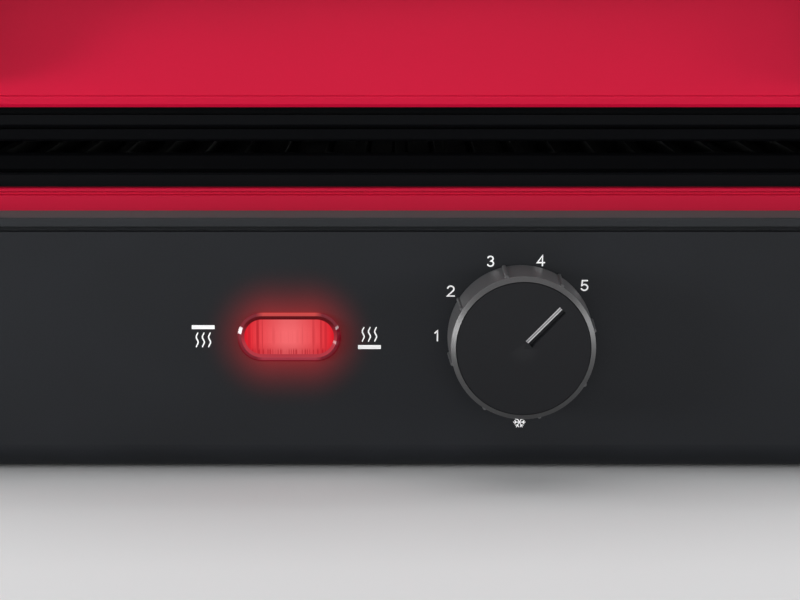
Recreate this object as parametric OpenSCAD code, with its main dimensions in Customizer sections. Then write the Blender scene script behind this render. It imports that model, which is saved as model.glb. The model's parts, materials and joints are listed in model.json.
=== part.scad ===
// Electric contact grill: a hinged, floating lid presses two ribbed plates together.
// Millimetres, +Z up, front towards -Y, origin under the middle of the whole grill on the table.

/* [Lid outline] */
// Width of the lid, shared by the red trim below it
lid_w = 332; // [310:1:380]
// Depth of the lid from its front face to its rear face
lid_d = 250; // [235:1:290]
// Corner radius of the lid seen from above
lid_corner_r = 22; // [20:1:34]
// Height of the lid above its lower edge
lid_h = 49.5; // [46:0.5:60]
// Wall of the moulded lid
lid_wall = 2.7; // [2:0.1:3.4]
// Radius between the lid's faces and its top
lid_fillet = 18; // [12:1:20]
// Height of the thicker lip along the lid's lower edge
lid_lip_h = 3; // [2:0.1:4]

/* [Base] */
// How far the control panel stands in front of the lid
ledge_front = 8; // [6:0.5:9]
// How far each side of the base stands out past the lid
side_ledge = 14; // [13:0.5:20]
// Front corner radius of the base
base_corner_r = 28; // [20:1:36]
// Rear corner radius of the base
base_rear_r = 12; // [11:0.5:16]
// Gap between the table and the rolled lower edge of the base
floor_gap = 0.8; // [0.6:0.1:2]
// Height of the control panel
panel_h = 66.4; // [62:0.1:76]
// Dark seam between the control panel and the deck
seam_h = 1.5; // [1:0.1:2]
// Height of the deck's front edge
deck_edge_h = 2.4; // [2:0.1:4]
// Rise of the deck from its edge to the red trim
deck_rise = 1; // [0.5:0.1:2]
// Wall of the base mouldings
wall = 3; // [2.4:0.1:3.4]
// Radius of the rolled lower edge of the base
edge_r = 7; // [6:0.5:8]
// Height of the rubber feet below the bottom cover
foot_h = 2.5; // [2.2:0.1:3.5]
// Diameter of a rubber foot
foot_d = 18; // [14:0.5:22]

/* [Plates] */
// Height of the red trim around the lower plate
trim_h = 6.2; // [5:0.1:8]
// Set-back of the black plate seat and lid frame behind the lid's face
seat_set = 4; // [3.6:0.1:5]
// Height of the plate seat above the red trim
seat_h = 3.8; // [3:0.1:5]
// Set-back of the plates' skirts behind the lid's face
plate_set = 6; // [5.5:0.1:7]
// Visible skirt of the lower plate
skirt_low = 4.4; // [3.6:0.1:6]
// Visible skirt of the upper plate
skirt_up = 3.4; // [3:0.1:5]
// Shadow line between a plate and its seat
plate_line = 0.8; // [0.5:0.1:1.2]
// Gap between the rims of the closed plates
plate_gap = 3.4; // [2.4:0.1:6]
// Wall of the cast plates
plate_t = 3; // [2.5:0.1:4]
// Depth of each plate from its rim to its floor
dish_d = 6.3; // [5.4:0.1:7.5]
// Height of the grill ribs
rib_h = 4.3; // [3:0.1:5]
// Pitch of the grill ribs
rib_pitch = 11.5; // [9:0.1:16]
// Width of a rib at its foot
rib_foot = 5.4; // [4:0.1:6.5]
// Width of a rib at its tip
rib_tip = 2.6; // [2:0.1:3.4]
// Height of the black frame band under the lid
frame_band = 3.3; // [2.6:0.1:4.5]
// Dark recess between the frame band and the lid's lower edge
frame_gap = 2.3; // [1.6:0.1:3]

/* [Heaters] */
// Diameter of the tubular heating elements
element_d = 7; // [6:0.1:8]
// Spacing of the runs of a heating element
element_pitch = 44; // [36:1:46]
// Sheet thickness of the heat reflectors
sheet_t = 0.8; // [0.6:0.1:1.2]
// Depth of the reflector pans
pan_d = 8; // [7:0.1:9]

/* [Hinge] */
// Distance from the lid's rear face back to the hinge axis
hinge_back = 16; // [15:0.5:20]
// Distance from the hinge axis back to the rear of the base
tower_back = 11; // [10.5:0.5:13]
// How far the hinge floats upwards for thick food
float_travel = 14; // [8:0.5:20]
// Diameter of the hinge pins
pin_d = 8; // [6:0.1:9]
// Thickness of the steel hinge arms
arm_t = 3.5; // [2.5:0.1:4.5]
// Half height of a sliding hinge block
block_h = 8; // [7:0.5:10]

/* [Handle] */
// Distance from the lid's face to the front of the handle
handle_reach = 46; // [42:1:60]
// Diameter of the grip tube
grip_d = 22; // [18:0.5:26]
// Wall of the grip tube
grip_wall = 1.5; // [1:0.1:2.5]
// Radius of the handle arms around the grip
grip_eye_r = 13; // [13:0.5:16]
// Height of the grip's axis above the lid's lower edge
grip_rise = 47.5; // [44:0.5:56]
// Distance of each handle arm from the middle
handle_x = 126; // [90:1:128]
// Thickness of the handle arms
handle_arm_w = 18; // [14:0.5:22]

/* [Controls] */
// Diameter of the temperature knob
knob_d = 40; // [34:0.5:44]
// Height of the knob in front of the panel
knob_h = 18.5; // [16:0.5:22]
// Distance of the knob from the middle
knob_x = 33; // [26:1:60]
// Height of the knob's and lamp's middle above the table
control_z = 38.2; // [34:0.1:40]
// Angle at which the pointer rests, counter-clockwise from the right
pointer_angle = 45.4; // [0:0.1:90]
// Diameter of the thermostat shaft
shaft_d = 6; // [5:0.1:7]
// Distance of the indicator lamp from the middle
lens_x = -30.4; // [-60:0.1:-26]
// Width of the indicator lens
lens_w = 28.4; // [24:0.1:32]
// Height of the indicator lens
lens_h = 13.4; // [11:0.1:15]
// How far the lens stands out of the panel
lens_out = 1.6; // [1:0.1:2.4]
// Travel of the plate release buttons
release_travel = 3; // [2:0.1:3.6]
// Height of the oval release buttons
release_h = 10; // [8:0.5:11]
// Length of the oval release buttons
release_w = 26; // [20:0.5:30]

/* [Drip tray] */
// Width of the drip tray along the side of the grill
tray_w = 110; // [90:1:120]
// Length of the drip tray into the grill
tray_l = 118; // [90:1:130]
// Height of the drip tray
tray_h = 20; // [16:0.5:24]

/* [Hidden] */
$fn = 64;

// Clearances
fit = 0.3;
run = 0.05;
eps = 0.1;
least_r = 1;

// Plan positions
base_w = lid_w + 2 * side_ledge;
overall_d = handle_reach + lid_d + hinge_back + tower_back;
lid_front = handle_reach - overall_d / 2;
lid_rear = lid_front + lid_d;
lid_mid = (lid_front + lid_rear) / 2;
panel_y = lid_front - ledge_front;
hinge_y = lid_rear + hinge_back;
base_rear = hinge_y + tower_back;

// Heights, from the table up
z_tub = floor_gap + panel_h;
z_band = z_tub + seam_h;
z_edge = z_band + deck_edge_h;
z_deck = z_edge + deck_rise;
z_trim = z_deck + trim_h;
z_seat = z_trim + seat_h;
z_skirt = z_seat + plate_line;
z_rim = z_skirt + skirt_low;
z_floor = z_rim - dish_d;
z_under = z_floor - plate_t;
z_rim_up = z_rim + plate_gap;
z_frame = z_rim_up + skirt_up + plate_line;
z_band_up = z_frame + frame_band;
z_lid = z_band_up + frame_gap;
z_floor_up = z_rim_up + dish_d;
z_under_up = z_floor_up + plate_t;
z_lid_top = z_lid + lid_h;
hinge_z = (z_rim + z_rim_up) / 2;

// Base mouldings
curl_tail = 2;
curl_w = edge_r + curl_tail;
deck_t = 3;
deck_lip = 2.2;
deck_lip_d = 4;
deck_round = 0.8;
cover_t = 2.5;
z_cover = foot_h + cover_t;
post_r = 5;
post_set = 15;
web_t = 3;
screw_r = 1.7;
screw_head_r = 3.4;
screw_head_h = 1.8;
screw_l = 14;
foot_set = 38;
foot_chamfer = 1;
vent_w = 4;
vent_l = 46;
vent_pitch = 9;
vent_n = 8;

// Trim, seat, plates and reflectors, as set-backs behind the lid's face
trim_w = seat_set - fit;
trim_lip_h = 0.9;
trim_groove_h = 1.1;
trim_groove_d = 0.7;
trim_chamfer = 0.3;
seat_w = 8;
seat_in = seat_set + seat_w;
plate_step = 2;
plate_chamfer = 0.6;
rim_w = 3.2;
body_set = seat_in + fit;
dish_slack = 1.5;
dish_foot = body_set + plate_t + dish_slack;
pan_slack = 0.5;
pan_flange_set = body_set + pan_slack;
deck_shelf = 8;
deck_open = body_set + deck_shelf;
pan_set = deck_open + fit;
pan_z = z_deck + sheet_t - pan_d;
frame_neck = 3.5;
frame_wall = 2.5;
frame_top_t = 3;
frame_lip_h = 9;
z_frame_in = z_lid + frame_top_t;
rib_margin = 12;
rib_root = 1;
rib_end_slope = 4;
element_z = z_under - fit - element_d / 2;
element_z_up = z_under_up + fit + element_d / 2;
element_runs = 4;
element_margin = 40;
element_leg = 26;
element_x = lid_w / 2 - element_margin;
element_bend = element_pitch / 2;
spout_d = 9;
spout_bore = 5;
spout_l = 9;
chute_play = 2;
chute_cup_d = spout_d + 2 * chute_play;
chute_tube_d = 10;
chute_wall = 1;
chute_cup_l = 8;
chute_cone_l = 4;
chute_drop = 2;
chute_flange_w = 2.5;
chute_flange_d = chute_cup_d + 2 * chute_flange_w;
spout_x = -(lid_w / 2 - seat_in - fit - chute_flange_d / 2);

// Release slides
slide_t = 3;
slide_half = 15;
lug_t = 3;
lug_half = 10;
lug_set = 2;
lug_play = 1;
lug_x = lid_w / 2 - body_set - lug_t - lug_set;
notch_d = 2;
notch_grip = 1.6;
slide_gap = 4;
button_top = z_tub - deck_lip_d - 2 * fit;
slide_z = min(pan_z - slide_gap - slide_t, button_top - release_h / 2 - slide_t / 2);
slide_z_up = z_frame_in + pan_d + slide_gap;
slide_end = 7;
slide_in = lug_x - release_travel - notch_grip - slide_end;
guide_t = 2.5;
guide_foot = 2.5;
hanger_x = lid_w / 2 - seat_in;
hanger_w = 5.5;
spring_r = 2;
spring_wire_r = 0.35;
spring_turns = 5;
spring_sides = 6;
spring_steps = 8;
spring_l = 8;
spring_pitch = (spring_l - 2 * spring_wire_r) / spring_turns;
button_l = 6;
button_proud = 1.5;

// Thermostat and lamp
bush_wall = 2;
bush_r = shaft_d / 2 + bush_wall;
bush_root = 1;
bush_out = 4.4;
stat_w = 34;
stat_h = 28;
stat_d = 18;
stat_back = 2;
nut_flats = 13;
nut_sides = 6;
nut_t = 2.6;
knob_gap = 0.6;
knob_draft = 0.6;
knob_bevel = 1.3;
knob_bevel_h = 1.1;
knob_groove_w = 0.25;
knob_groove_d = 0.35;
knob_face_t = 3.2;
knob_wall = 2.4;
knob_dome = 0.35;
knob_dome_steps = 256;
knob_hub_wall = 3;
knob_hub_r = shaft_d / 2 + knob_hub_wall;
knob_ribs = 8;
knob_rib_r = 0.55;
knob_rib_turn = 13;
knob_rib_stop = 2.1;
pointer_in = 1.9;
pointer_out = 14.7;
pointer_w = 2.3;
pointer_d = 0.8;
pointer_slope = 0.45;
inlay_w = 0.9;
lens_side = 0.9;
lens_bevel = 1;
lens_ring = 1.15;
lens_dip = 0.5;
lens_slope = 0.8;
lens_tail = 2;
lens_neck_wall = 1;
lens_neck = 0.9;
lens_neck_w = lens_w - 2 * lens_neck;
lens_neck_h = lens_h - 2 * lens_neck;
lens_skin = 1.3;
lens_rib_n = 17;
lens_rib_w = 0.7;
lens_rib_d = 0.5;
holder_wall = 1.6;
holder_d = 13;
bulb_d = 6;
bulb_l = 17;
gland_d = 16;
gland_bore = 8;
gland_flange_d = 22;
gland_flange_t = 2.5;
gland_l = 15;
gland_set = 60;
gland_x = base_w / 2 - gland_set;
gland_z = 24;
block_w = 38;
block_d = 18;
block_t = 15;
block_pitch = 11.2;

// Drip tray
tray_y = lid_mid;
tray_z = 9.5;
tray_wall = 2;
tray_front_t = 9;
tray_scoop_r = 5;
tray_scoop_w = 60;
runner_w = 6;
guide_h = 12;
tray_x = -base_w / 2;

// Hinge
tower_gap = 1.5;
tower_x = lid_w / 2 + tower_gap;
tower_half = 11.5;
tower_foot = 14;
tower_set = 0.6;
pocket_d = 8.5;
pocket_half = 7.5;
block_slack = 0.3;
block_back = 2;
pocket_floor = 2;
tower_cap = 7;
z_tower = hinge_z + block_h + float_travel + fit + tower_cap;
arm_set = 2;
arm_x = lid_w / 2 - lid_corner_r - arm_set;
arm_y = lid_rear - lid_wall - fit;
arm_foot_w = 28;
arm_foot_h = 9;
arm_drop = 1.3;
arm_eye_wall = 4.5;
arm_eye_r = pin_d / 2 + arm_eye_wall;
arm_under = 233;
arm_over = 78;
pin_head_lip = 1.8;
pin_head_r = pin_d / 2 + pin_head_lip;
pin_head_t = 2;
hinge_screw_at = [0.2, 0.62];
hinge_screw_set = 1;

// Lid
lid_lip_out = 0.5;
lid_round = min(lid_fillet, lid_corner_r - lid_lip_out - least_r);
top_set = lid_lip_out + lid_round;
z_round = z_lid_top - lid_round;
lip_fall = 0.35;
lip_chamfer = 0.9;
lip_step = 0.3;

// Handle
grip_y = lid_front - handle_reach + grip_eye_r;
grip_z = z_lid + grip_rise;
pad_h = 20;
pad_t = 5;
pad_rise = 8;
handle_screw_at = [0.25, 0.75];
pad_z = z_lid + pad_rise;
socket_d = 6;
handle_bite = 7.5;
eye_turn = 45;
// Round hollows under and over a handle arm: y and z from the grip's axis, and radius
sweep_low = [-2, -36, 22];
sweep_high = [30, 5, 18];
grip_half = handle_x - handle_arm_w / 2 + socket_d - fit;
lid_face = lid_front + lid_lip_out;

// Colours
red = [0.79, 0.13, 0.26];
slate = [0.16, 0.165, 0.18];
slate_light = [0.18, 0.19, 0.20];
black = [0.05, 0.055, 0.065];
steel = [0.75, 0.76, 0.77];
dull_steel = [0.55, 0.56, 0.57];
rubber = [0.08, 0.08, 0.08];
cream = [0.88, 0.86, 0.80];
lamp_red = [0.90, 0.18, 0.24];
lamp_orange = [0.95, 0.55, 0.25];

// Flat rounded rectangle with its own front and rear corner radii
module plan(x, y0, y1, rf, rr) {
  polygon([
    [rf - x, y0], [x - rf, y0], [x, y0 + rf], [x, y1 - rr],
    [x - rr, y1], [rr - x, y1], [-x, y1 - rr], [-x, y0 + rf]
  ]);
  for (s = [-1, 1]) {
    translate([s * (x - rf), y0 + rf]) circle(rf);
    translate([s * (x - rr), y1 - rr]) circle(rr);
  }
}

// Outlines of the lid and the base, set back by t
module lid_plan(t) {
  r = max(lid_corner_r - t, least_r);
  plan(lid_w / 2 - t, lid_front + t, lid_rear - t, r, r);
}
module base_plan(t) {
  plan(base_w / 2 - t, panel_y + t, base_rear - t, base_corner_r - t, base_rear_r - t);
}

// A flat slab between two heights
module lid_slab(t, z0, z1) {
  translate([0, 0, z0]) linear_extrude(z1 - z0) lid_plan(t);
}
module base_slab(t, z0, z1) {
  translate([0, 0, z0]) linear_extrude(z1 - z0) base_plan(t);
}

// A flat ring between two set-backs and two heights
module lid_ring(t0, t1, z0, z1) {
  translate([0, 0, z0]) linear_extrude(z1 - z0) difference() {
    lid_plan(t0);
    lid_plan(t1);
  }
}

// Carries a profile round a rounded rectangle; x = 0 of the profile is the outer edge, inwards is negative
module carry(x, y0, y1, rf, rr) {
  for (s = [0, 1]) {
    mirror([s, 0, 0]) {
      translate([x - rr, y1 - rr, 0]) rotate_extrude(angle = 90) translate([rr, 0]) children();
      translate([x - rf, y0 + rf, 0]) rotate(270) rotate_extrude(angle = 90) translate([rf, 0]) children();
      translate([x, y1 - rr, 0]) rotate([90, 0, 0]) linear_extrude(y1 - rr - y0 - rf) children();
    }
  }
  translate([rr - x, y1, 0]) rotate([90, 0, 90]) linear_extrude(2 * (x - rr)) children();
  translate([x - rf, y0, 0]) rotate([90, 0, 270]) linear_extrude(2 * (x - rf)) children();
}
module carry_lid() {
  carry(lid_w / 2, lid_front, lid_rear, lid_corner_r, lid_corner_r) children();
}
module carry_base() {
  carry(base_w / 2, panel_y, base_rear, base_corner_r, base_rear_r) children();
}

// Places things on the control panel: x right, y up and z out of the panel
module on_panel(x, z) {
  translate([x, panel_y, z]) rotate([90, 0, 0]) children();
}

// A pill outline: w across, h high
module pill(w, h) {
  square([w - h, h], center = true);
  for (s = [-1, 1]) translate([s * (w - h) / 2, 0]) circle(h / 2);
}

// A box given by its two corners
module span(a, b) {
  translate(a) cube(b - a);
}

// Wall of the base with its rolled lower edge
module tub_profile() {
  inner_r = edge_r - wall;
  difference() {
    translate([-curl_w, floor_gap]) square([curl_w, panel_h]);
    difference() {
      translate([-edge_r, floor_gap - eps]) square([edge_r + eps, edge_r + eps]);
      translate([-edge_r, floor_gap + edge_r]) circle(edge_r);
    }
    difference() {
      translate([-curl_w - eps, floor_gap + wall]) square([curl_w + eps - wall, panel_h]);
      difference() {
        translate([-wall - inner_r, floor_gap + wall]) square(inner_r);
        translate([-wall - inner_r, floor_gap + edge_r]) circle(inner_r);
      }
    }
  }
}

// Screw posts stand in the base's corners on webs from the wall
module post_places() {
  x = base_w / 2 - post_set;
  for (s = [-1, 1]) {
    translate([s * x, panel_y + base_corner_r, 0]) children();
    translate([s * x, base_rear - base_rear_r - post_set, 0]) children();
  }
}

module base_housing() {
  web_x = post_set - wall;
  color(slate) difference() {
    union() {
      carry_base() tub_profile();
      post_places() translate([0, 0, z_cover]) cylinder(r = post_r, h = z_deck - deck_t - z_cover);
      for (s = [-1, 1]) for (y = [panel_y + base_corner_r, base_rear - base_rear_r - post_set])
        translate([s * (base_w / 2 - post_set / 2 - wall / 2), y, (z_cover + z_tub - deck_lip_d - fit) / 2])
          cube([web_x, web_t, z_tub - deck_lip_d - fit - z_cover], center = true);
    }
    post_places() translate([0, 0, z_cover - eps]) cylinder(r = screw_r, h = z_tub - z_cover);
    on_panel(knob_x, control_z) translate([0, 0, -2 * wall]) cylinder(r = bush_r + fit, h = 3 * wall);
    on_panel(lens_x, control_z) translate([0, 0, -2 * wall])
      linear_extrude(3 * wall) pill(lens_neck_w + 2 * fit, lens_neck_h + 2 * fit);
    span([tray_x - eps, tray_y - tray_w / 2 - fit, tray_z - fit],
      [tray_x + 2 * wall, tray_y + tray_w / 2 + fit, tray_z + tray_h + fit]);
    translate([base_w / 2 - 2 * wall, lid_mid, slide_z + slide_t / 2]) rotate([90, 0, 90])
      linear_extrude(3 * wall) pill(release_w + 2 * fit, release_h + 2 * fit);
    translate([gland_x, base_rear - 2 * wall, gland_z]) rotate([-90, 0, 0])
      cylinder(d = gland_d + 2 * run, h = 3 * wall);
  }
}

// Deck profile: front edge, rising ledge and the lip that locates it in the base
module deck_profile() {
  lip_out = wall + fit;
  polygon([
    [0, z_band], [0, z_edge - deck_round], [-deck_round, z_edge], [-ledge_front, z_deck],
    [-ledge_front, z_deck - deck_t], [-lip_out - deck_lip, z_deck - deck_t],
    [-lip_out - deck_lip, z_tub - deck_lip_d], [-lip_out, z_tub - deck_lip_d], [-lip_out, z_band]
  ]);
  translate([-deck_round, z_edge - deck_round]) circle(deck_round);
}

// Cage round a release slide that lies at z = 0: feet carry the slide's edges, hangers reach to z_anchor
// on the moulding that holds the cage, and a bar at the inner end stops the spring
module slide_cage(z_anchor) {
  low = -guide_t - fit;
  high = slide_t + fit;
  y_in = slide_half + fit;
  y_out = y_in + guide_t;
  bar_x = slide_in - spring_l - 2 * fit;
  for (s = [0, 1]) mirror([0, s, 0]) {
    span([bar_x - guide_t, y_in, low], [hanger_x + hanger_w, y_out, high]);
    span([bar_x, slide_half - guide_foot, low], [hanger_x, y_out, -fit]);
    span([hanger_x, y_in, min(low, z_anchor)], [hanger_x + hanger_w, y_out, max(high, z_anchor)]);
  }
  span([bar_x - guide_t, -y_out, low], [bar_x, y_out, high]);
}

// Slot through which a plate's lug reaches its release slide
module lug_slot(z0, z1) {
  span([lug_x - release_travel - notch_grip, lid_mid - lug_half - lug_play, z0],
    [lug_x + lug_t + lug_play, lid_mid + lug_half + lug_play, z1]);
}

module base_deck() {
  color(slate_light) {
    difference() {
      union() {
        carry_base() deck_profile();
        base_slab(ledge_front - eps, z_deck - deck_t, z_deck);
      }
      lid_slab(deck_open, z_deck - 2 * deck_t, z_deck + eps);
      lug_slot(z_deck - 2 * deck_t, z_deck + eps);
      translate([spout_x, lid_mid, z_deck - 2 * deck_t]) cylinder(d = chute_cup_d + 2 * fit, h = 3 * deck_t);
      tower_screw_places() translate([0, 0, z_deck - 2 * deck_t]) cylinder(r = screw_r + run, h = 3 * deck_t);
    }
    translate([0, lid_mid, slide_z]) slide_cage(z_deck - deck_t - slide_z);
  }
}

module bottom_cover() {
  guide_y = tray_w / 2 + fit;
  front_x = tray_x + curl_w + 2 * fit;
  rail_x = tray_x + tray_l;
  color(black) difference() {
    union() {
      base_slab(curl_w + fit, foot_h, z_cover);
      for (s = [-1, 1]) {
        span([front_x, tray_y + s * tray_w / 4 - runner_w / 2, foot_h],
          [rail_x, tray_y + s * tray_w / 4 + runner_w / 2, tray_z - fit]);
        span([front_x, tray_y + (s < 0 ? -guide_y - wall : guide_y), foot_h],
          [rail_x, tray_y + (s < 0 ? -guide_y : guide_y + wall), tray_z + guide_h]);
      }
    }
    post_places() cylinder(r = screw_r + fit, h = 2 * z_cover);
    for (i = [0 : vent_n - 1])
      translate([base_w / 4 + (i - (vent_n - 1) / 2) * vent_pitch, lid_mid, foot_h - eps])
        linear_extrude(cover_t + 2 * eps) rotate(90) pill(vent_l, vent_w);
  }
}

module feet() {
  color(rubber) for (s = [-1, 1]) for (y = [panel_y + foot_set, base_rear - foot_set])
    translate([s * (base_w / 2 - foot_set), y, 0]) rotate_extrude()
      polygon([
        [0, 0], [foot_d / 2 - foot_chamfer, 0], [foot_d / 2, foot_chamfer],
        [foot_d / 2, foot_h], [0, foot_h]
      ]);
}

// Pan-head screw pointing up from its seat at z = 0
module screw(l) {
  translate([0, 0, -screw_head_h]) cylinder(r = screw_head_r, h = screw_head_h);
  translate([0, 0, -eps]) cylinder(r = screw_r - run, h = l + eps);
}

module bottom_screws() {
  color(dull_steel) post_places() translate([0, 0, foot_h]) screw(screw_l);
}

module lower_trim() {
  lip0 = z_trim - trim_lip_h;
  groove0 = lip0 - trim_groove_h;
  color(red) carry_lid() polygon([
    [0, z_deck], [0, groove0], [-trim_groove_d, groove0 + trim_chamfer],
    [-trim_groove_d, lip0 - trim_chamfer], [0, lip0], [0, z_trim - trim_chamfer],
    [-trim_chamfer, z_trim], [-trim_w, z_trim], [-trim_w, z_deck]
  ]);
}

module lower_plate_seat() {
  color(black) carry_lid() polygon([
    [-seat_set, z_deck], [-seat_set, z_seat - plate_chamfer], [-seat_set - plate_chamfer, z_seat],
    [-seat_in, z_seat], [-seat_in, z_deck]
  ]);
}

// Rim of a grill plate, drawn rim upwards with the rim at z = 0 and its seat below
module plate_rim(skirt) {
  seat = -skirt - plate_line;
  carry_lid() polygon([
    [-plate_set, -skirt], [-plate_set, -plate_chamfer], [-plate_set - plate_chamfer, 0],
    [-plate_set - rim_w, 0], [-dish_foot, -dish_d], [-dish_foot, -dish_d - plate_t],
    [-body_set, -dish_d - plate_t], [-body_set, seat], [-plate_set - plate_step, seat],
    [-plate_set - plate_step, -skirt]
  ]);
}

// Parallel ribs with drafted sides and sloped ends
module plate_ribs() {
  half_x = lid_w / 2 - body_set - rib_margin;
  half_y = lid_d / 2 - body_set - rib_margin;
  n = floor((half_x - rib_foot / 2) / rib_pitch);
  intersection() {
    for (i = [-n : n])
      translate([i * rib_pitch, lid_mid + half_y, -dish_d]) rotate([90, 0, 0]) linear_extrude(2 * half_y)
        polygon([
          [-rib_foot / 2, -rib_root], [rib_foot / 2, -rib_root],
          [rib_tip / 2, rib_h], [-rib_tip / 2, rib_h]
        ]);
    translate([-half_x, lid_mid, -dish_d]) rotate([90, 0, 90]) linear_extrude(2 * half_x)
      polygon([
        [-half_y, -rib_root], [half_y, -rib_root], [half_y - rib_root, 0],
        [half_y - rib_end_slope, rib_h], [rib_end_slope - half_y, rib_h], [rib_root - half_y, 0]
      ]);
  }
}

// Lug under a plate, notched for its release slide; drop is measured from the plate's underside
module plate_lug(notch_z, drop) {
  difference() {
    span([lug_x, -lug_half, -drop], [lug_x + lug_t, lug_half, eps]);
    span([lug_x - eps, -lug_half - eps, notch_z - fit],
      [lug_x + notch_d, lug_half + eps, notch_z + slide_t + fit]);
  }
}

// A whole plate, rim upwards, with the rim at z = 0
module grill_plate(skirt, notch_z) {
  under = -dish_d - plate_t;
  plate_rim(skirt);
  lid_slab((body_set + dish_foot) / 2, under, -dish_d);
  plate_ribs();
  translate([0, lid_mid, under]) plate_lug(notch_z - under, under - notch_z + slide_t);
}

module lower_grill_plate() {
  color(black) difference() {
    union() {
      translate([0, 0, z_rim]) grill_plate(skirt_low, slide_z - z_rim);
      translate([spout_x, lid_mid, z_under - spout_l]) cylinder(d = spout_d, h = spout_l + eps);
    }
    translate([spout_x, lid_mid, z_under - spout_l - eps])
      cylinder(d = spout_bore, h = spout_l + 2 * plate_t);
  }
}

module upper_grill_plate() {
  color(black) translate([0, 0, z_rim_up]) mirror([0, 0, 1])
    grill_plate(skirt_up, z_rim_up - slide_z_up - slide_t);
}

// Pressed sheet pan that throws the heat at a plate, drawn opening upwards with its flange's top at z = 0
module reflector(flange_set) {
  difference() {
    union() {
      lid_ring(flange_set, pan_set + sheet_t, -sheet_t, 0);
      lid_ring(pan_set, pan_set + sheet_t, -pan_d, 0);
      lid_slab(pan_set, -pan_d, sheet_t - pan_d);
    }
    lug_slot(-2 * sheet_t, sheet_t);
    element_ends() translate([0, 0, -2 * pan_d]) cylinder(d = element_d + 2 * fit, h = 2 * pan_d);
  }
}

module lower_reflector() {
  color(steel) difference() {
    translate([0, 0, z_deck + sheet_t]) reflector(pan_flange_set);
    translate([spout_x, lid_mid, z_deck - 2 * pan_d]) cylinder(d = chute_cup_d + 2 * fit, h = 3 * pan_d);
  }
}

module upper_reflector() {
  notch_y = slide_half + guide_t + 2 * fit;
  color(steel) difference() {
    translate([0, 0, z_frame_in]) mirror([0, 0, 1]) reflector(lid_wall + lid_lip_out + frame_wall + 2 * fit);
    span([hanger_x - fit, lid_mid - notch_y, z_frame_in - eps],
      [lid_w / 2, lid_mid + notch_y, z_frame_in + pan_d / 2]);
  }
}

// Where the two ends of a heating element turn away from the plate
module element_ends() {
  for (s = [-1, 1])
    translate([-element_x, lid_mid + s * element_pitch * (element_runs - 1) / 2, 0]) children();
}

// Serpentine tube lying at z = 0 with both ends turned downwards
module element() {
  leg_r = element_d;
  y0 = -element_pitch * (element_runs - 1) / 2;
  run_x = element_x - leg_r;
  for (i = [0 : element_runs - 1]) {
    outer = i == 0 || i == element_runs - 1;
    x0 = outer ? -run_x : element_bend - run_x;
    translate([x0, y0 + i * element_pitch, 0]) rotate([0, 90, 0])
      cylinder(d = element_d, h = run_x - element_bend - x0);
  }
  for (i = [0 : element_runs - 2]) {
    side = i % 2 == 0 ? 1 : -1;
    translate([side * (run_x - element_bend), y0 + (i + 0.5) * element_pitch, 0]) rotate(side > 0 ? -90 : 90)
      rotate_extrude(angle = 180) translate([element_bend, 0]) circle(d = element_d);
  }
  for (s = [-1, 1]) {
    translate([-run_x, s * y0, -leg_r]) rotate([90, 0, 180]) rotate_extrude(angle = 90)
      translate([leg_r, 0]) circle(d = element_d);
    translate([-element_x, s * y0, -element_leg]) cylinder(d = element_d, h = element_leg - leg_r);
  }
}

module lower_heating_element() {
  color(dull_steel) translate([0, lid_mid, element_z]) element();
}

module upper_heating_element() {
  color(dull_steel) translate([0, lid_mid, element_z_up]) mirror([0, 0, 1]) element();
}

// Funnel that hangs in the deck and leads fat from the plate's spout into the tray
module drain_chute() {
  top = z_deck + sheet_t;
  cup_r = chute_cup_d / 2;
  tube_r = chute_tube_d / 2;
  cone0 = z_deck - chute_cup_l - chute_cone_l;
  cone1 = z_deck - chute_cup_l;
  low = tray_z + tray_h + chute_drop;
  color(black) translate([spout_x, lid_mid, 0]) rotate_extrude() polygon([
    [tube_r, low], [tube_r, cone0], [cup_r, cone1], [cup_r, top], [chute_flange_d / 2, top],
    [chute_flange_d / 2, top + chute_wall], [cup_r - chute_wall, top + chute_wall],
    [cup_r - chute_wall, cone1], [tube_r - chute_wall, cone0], [tube_r - chute_wall, low]
  ]);
}

module thermostat() {
  color(cream) on_panel(knob_x, control_z) difference() {
    union() {
      translate([0, 0, -wall - stat_d / 2]) cube([stat_w, stat_h, stat_d], center = true);
      translate([0, 0, -wall - bush_root]) cylinder(r = bush_r, h = wall + bush_root + bush_out);
    }
    translate([0, 0, stat_back - wall - stat_d])
      cylinder(d = shaft_d + 2 * run, h = stat_d + wall + bush_out);
  }
}

module thermostat_nut() {
  color(steel) on_panel(knob_x, control_z) difference() {
    cylinder(d = nut_flats / cos(180 / nut_sides), h = nut_t, $fn = nut_sides);
    translate([0, 0, -eps]) cylinder(r = bush_r + run, h = nut_t + 2 * eps);
  }
}

// Shaft with a flat along the part that carries the knob
module shaft_outline(extra) {
  difference() {
    circle(d = shaft_d + 2 * extra);
    translate([shaft_d / 4 + extra, -shaft_d]) square(2 * shaft_d);
  }
}

module thermostat_shaft() {
  inner = stat_back - wall - stat_d + fit;
  flat0 = bush_out + fit;
  color(steel) on_panel(knob_x, control_z) {
    translate([0, 0, inner]) cylinder(d = shaft_d, h = flat0 - inner);
    translate([0, 0, flat0 - eps]) linear_extrude(knob_h - knob_face_t - fit - flat0) shaft_outline(0);
  }
}

// Pointer groove in the knob's face, along +x, with one sloping side
module pointer_slot() {
  half = pointer_w / 2;
  translate([pointer_in, 0, knob_h]) rotate([90, 0, 90]) linear_extrude(pointer_out - pointer_in)
    polygon([
      [pointer_slope - half, -pointer_d], [half, -pointer_d],
      [half, pointer_d], [-pointer_slope - half, pointer_d]
    ]);
}

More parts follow.
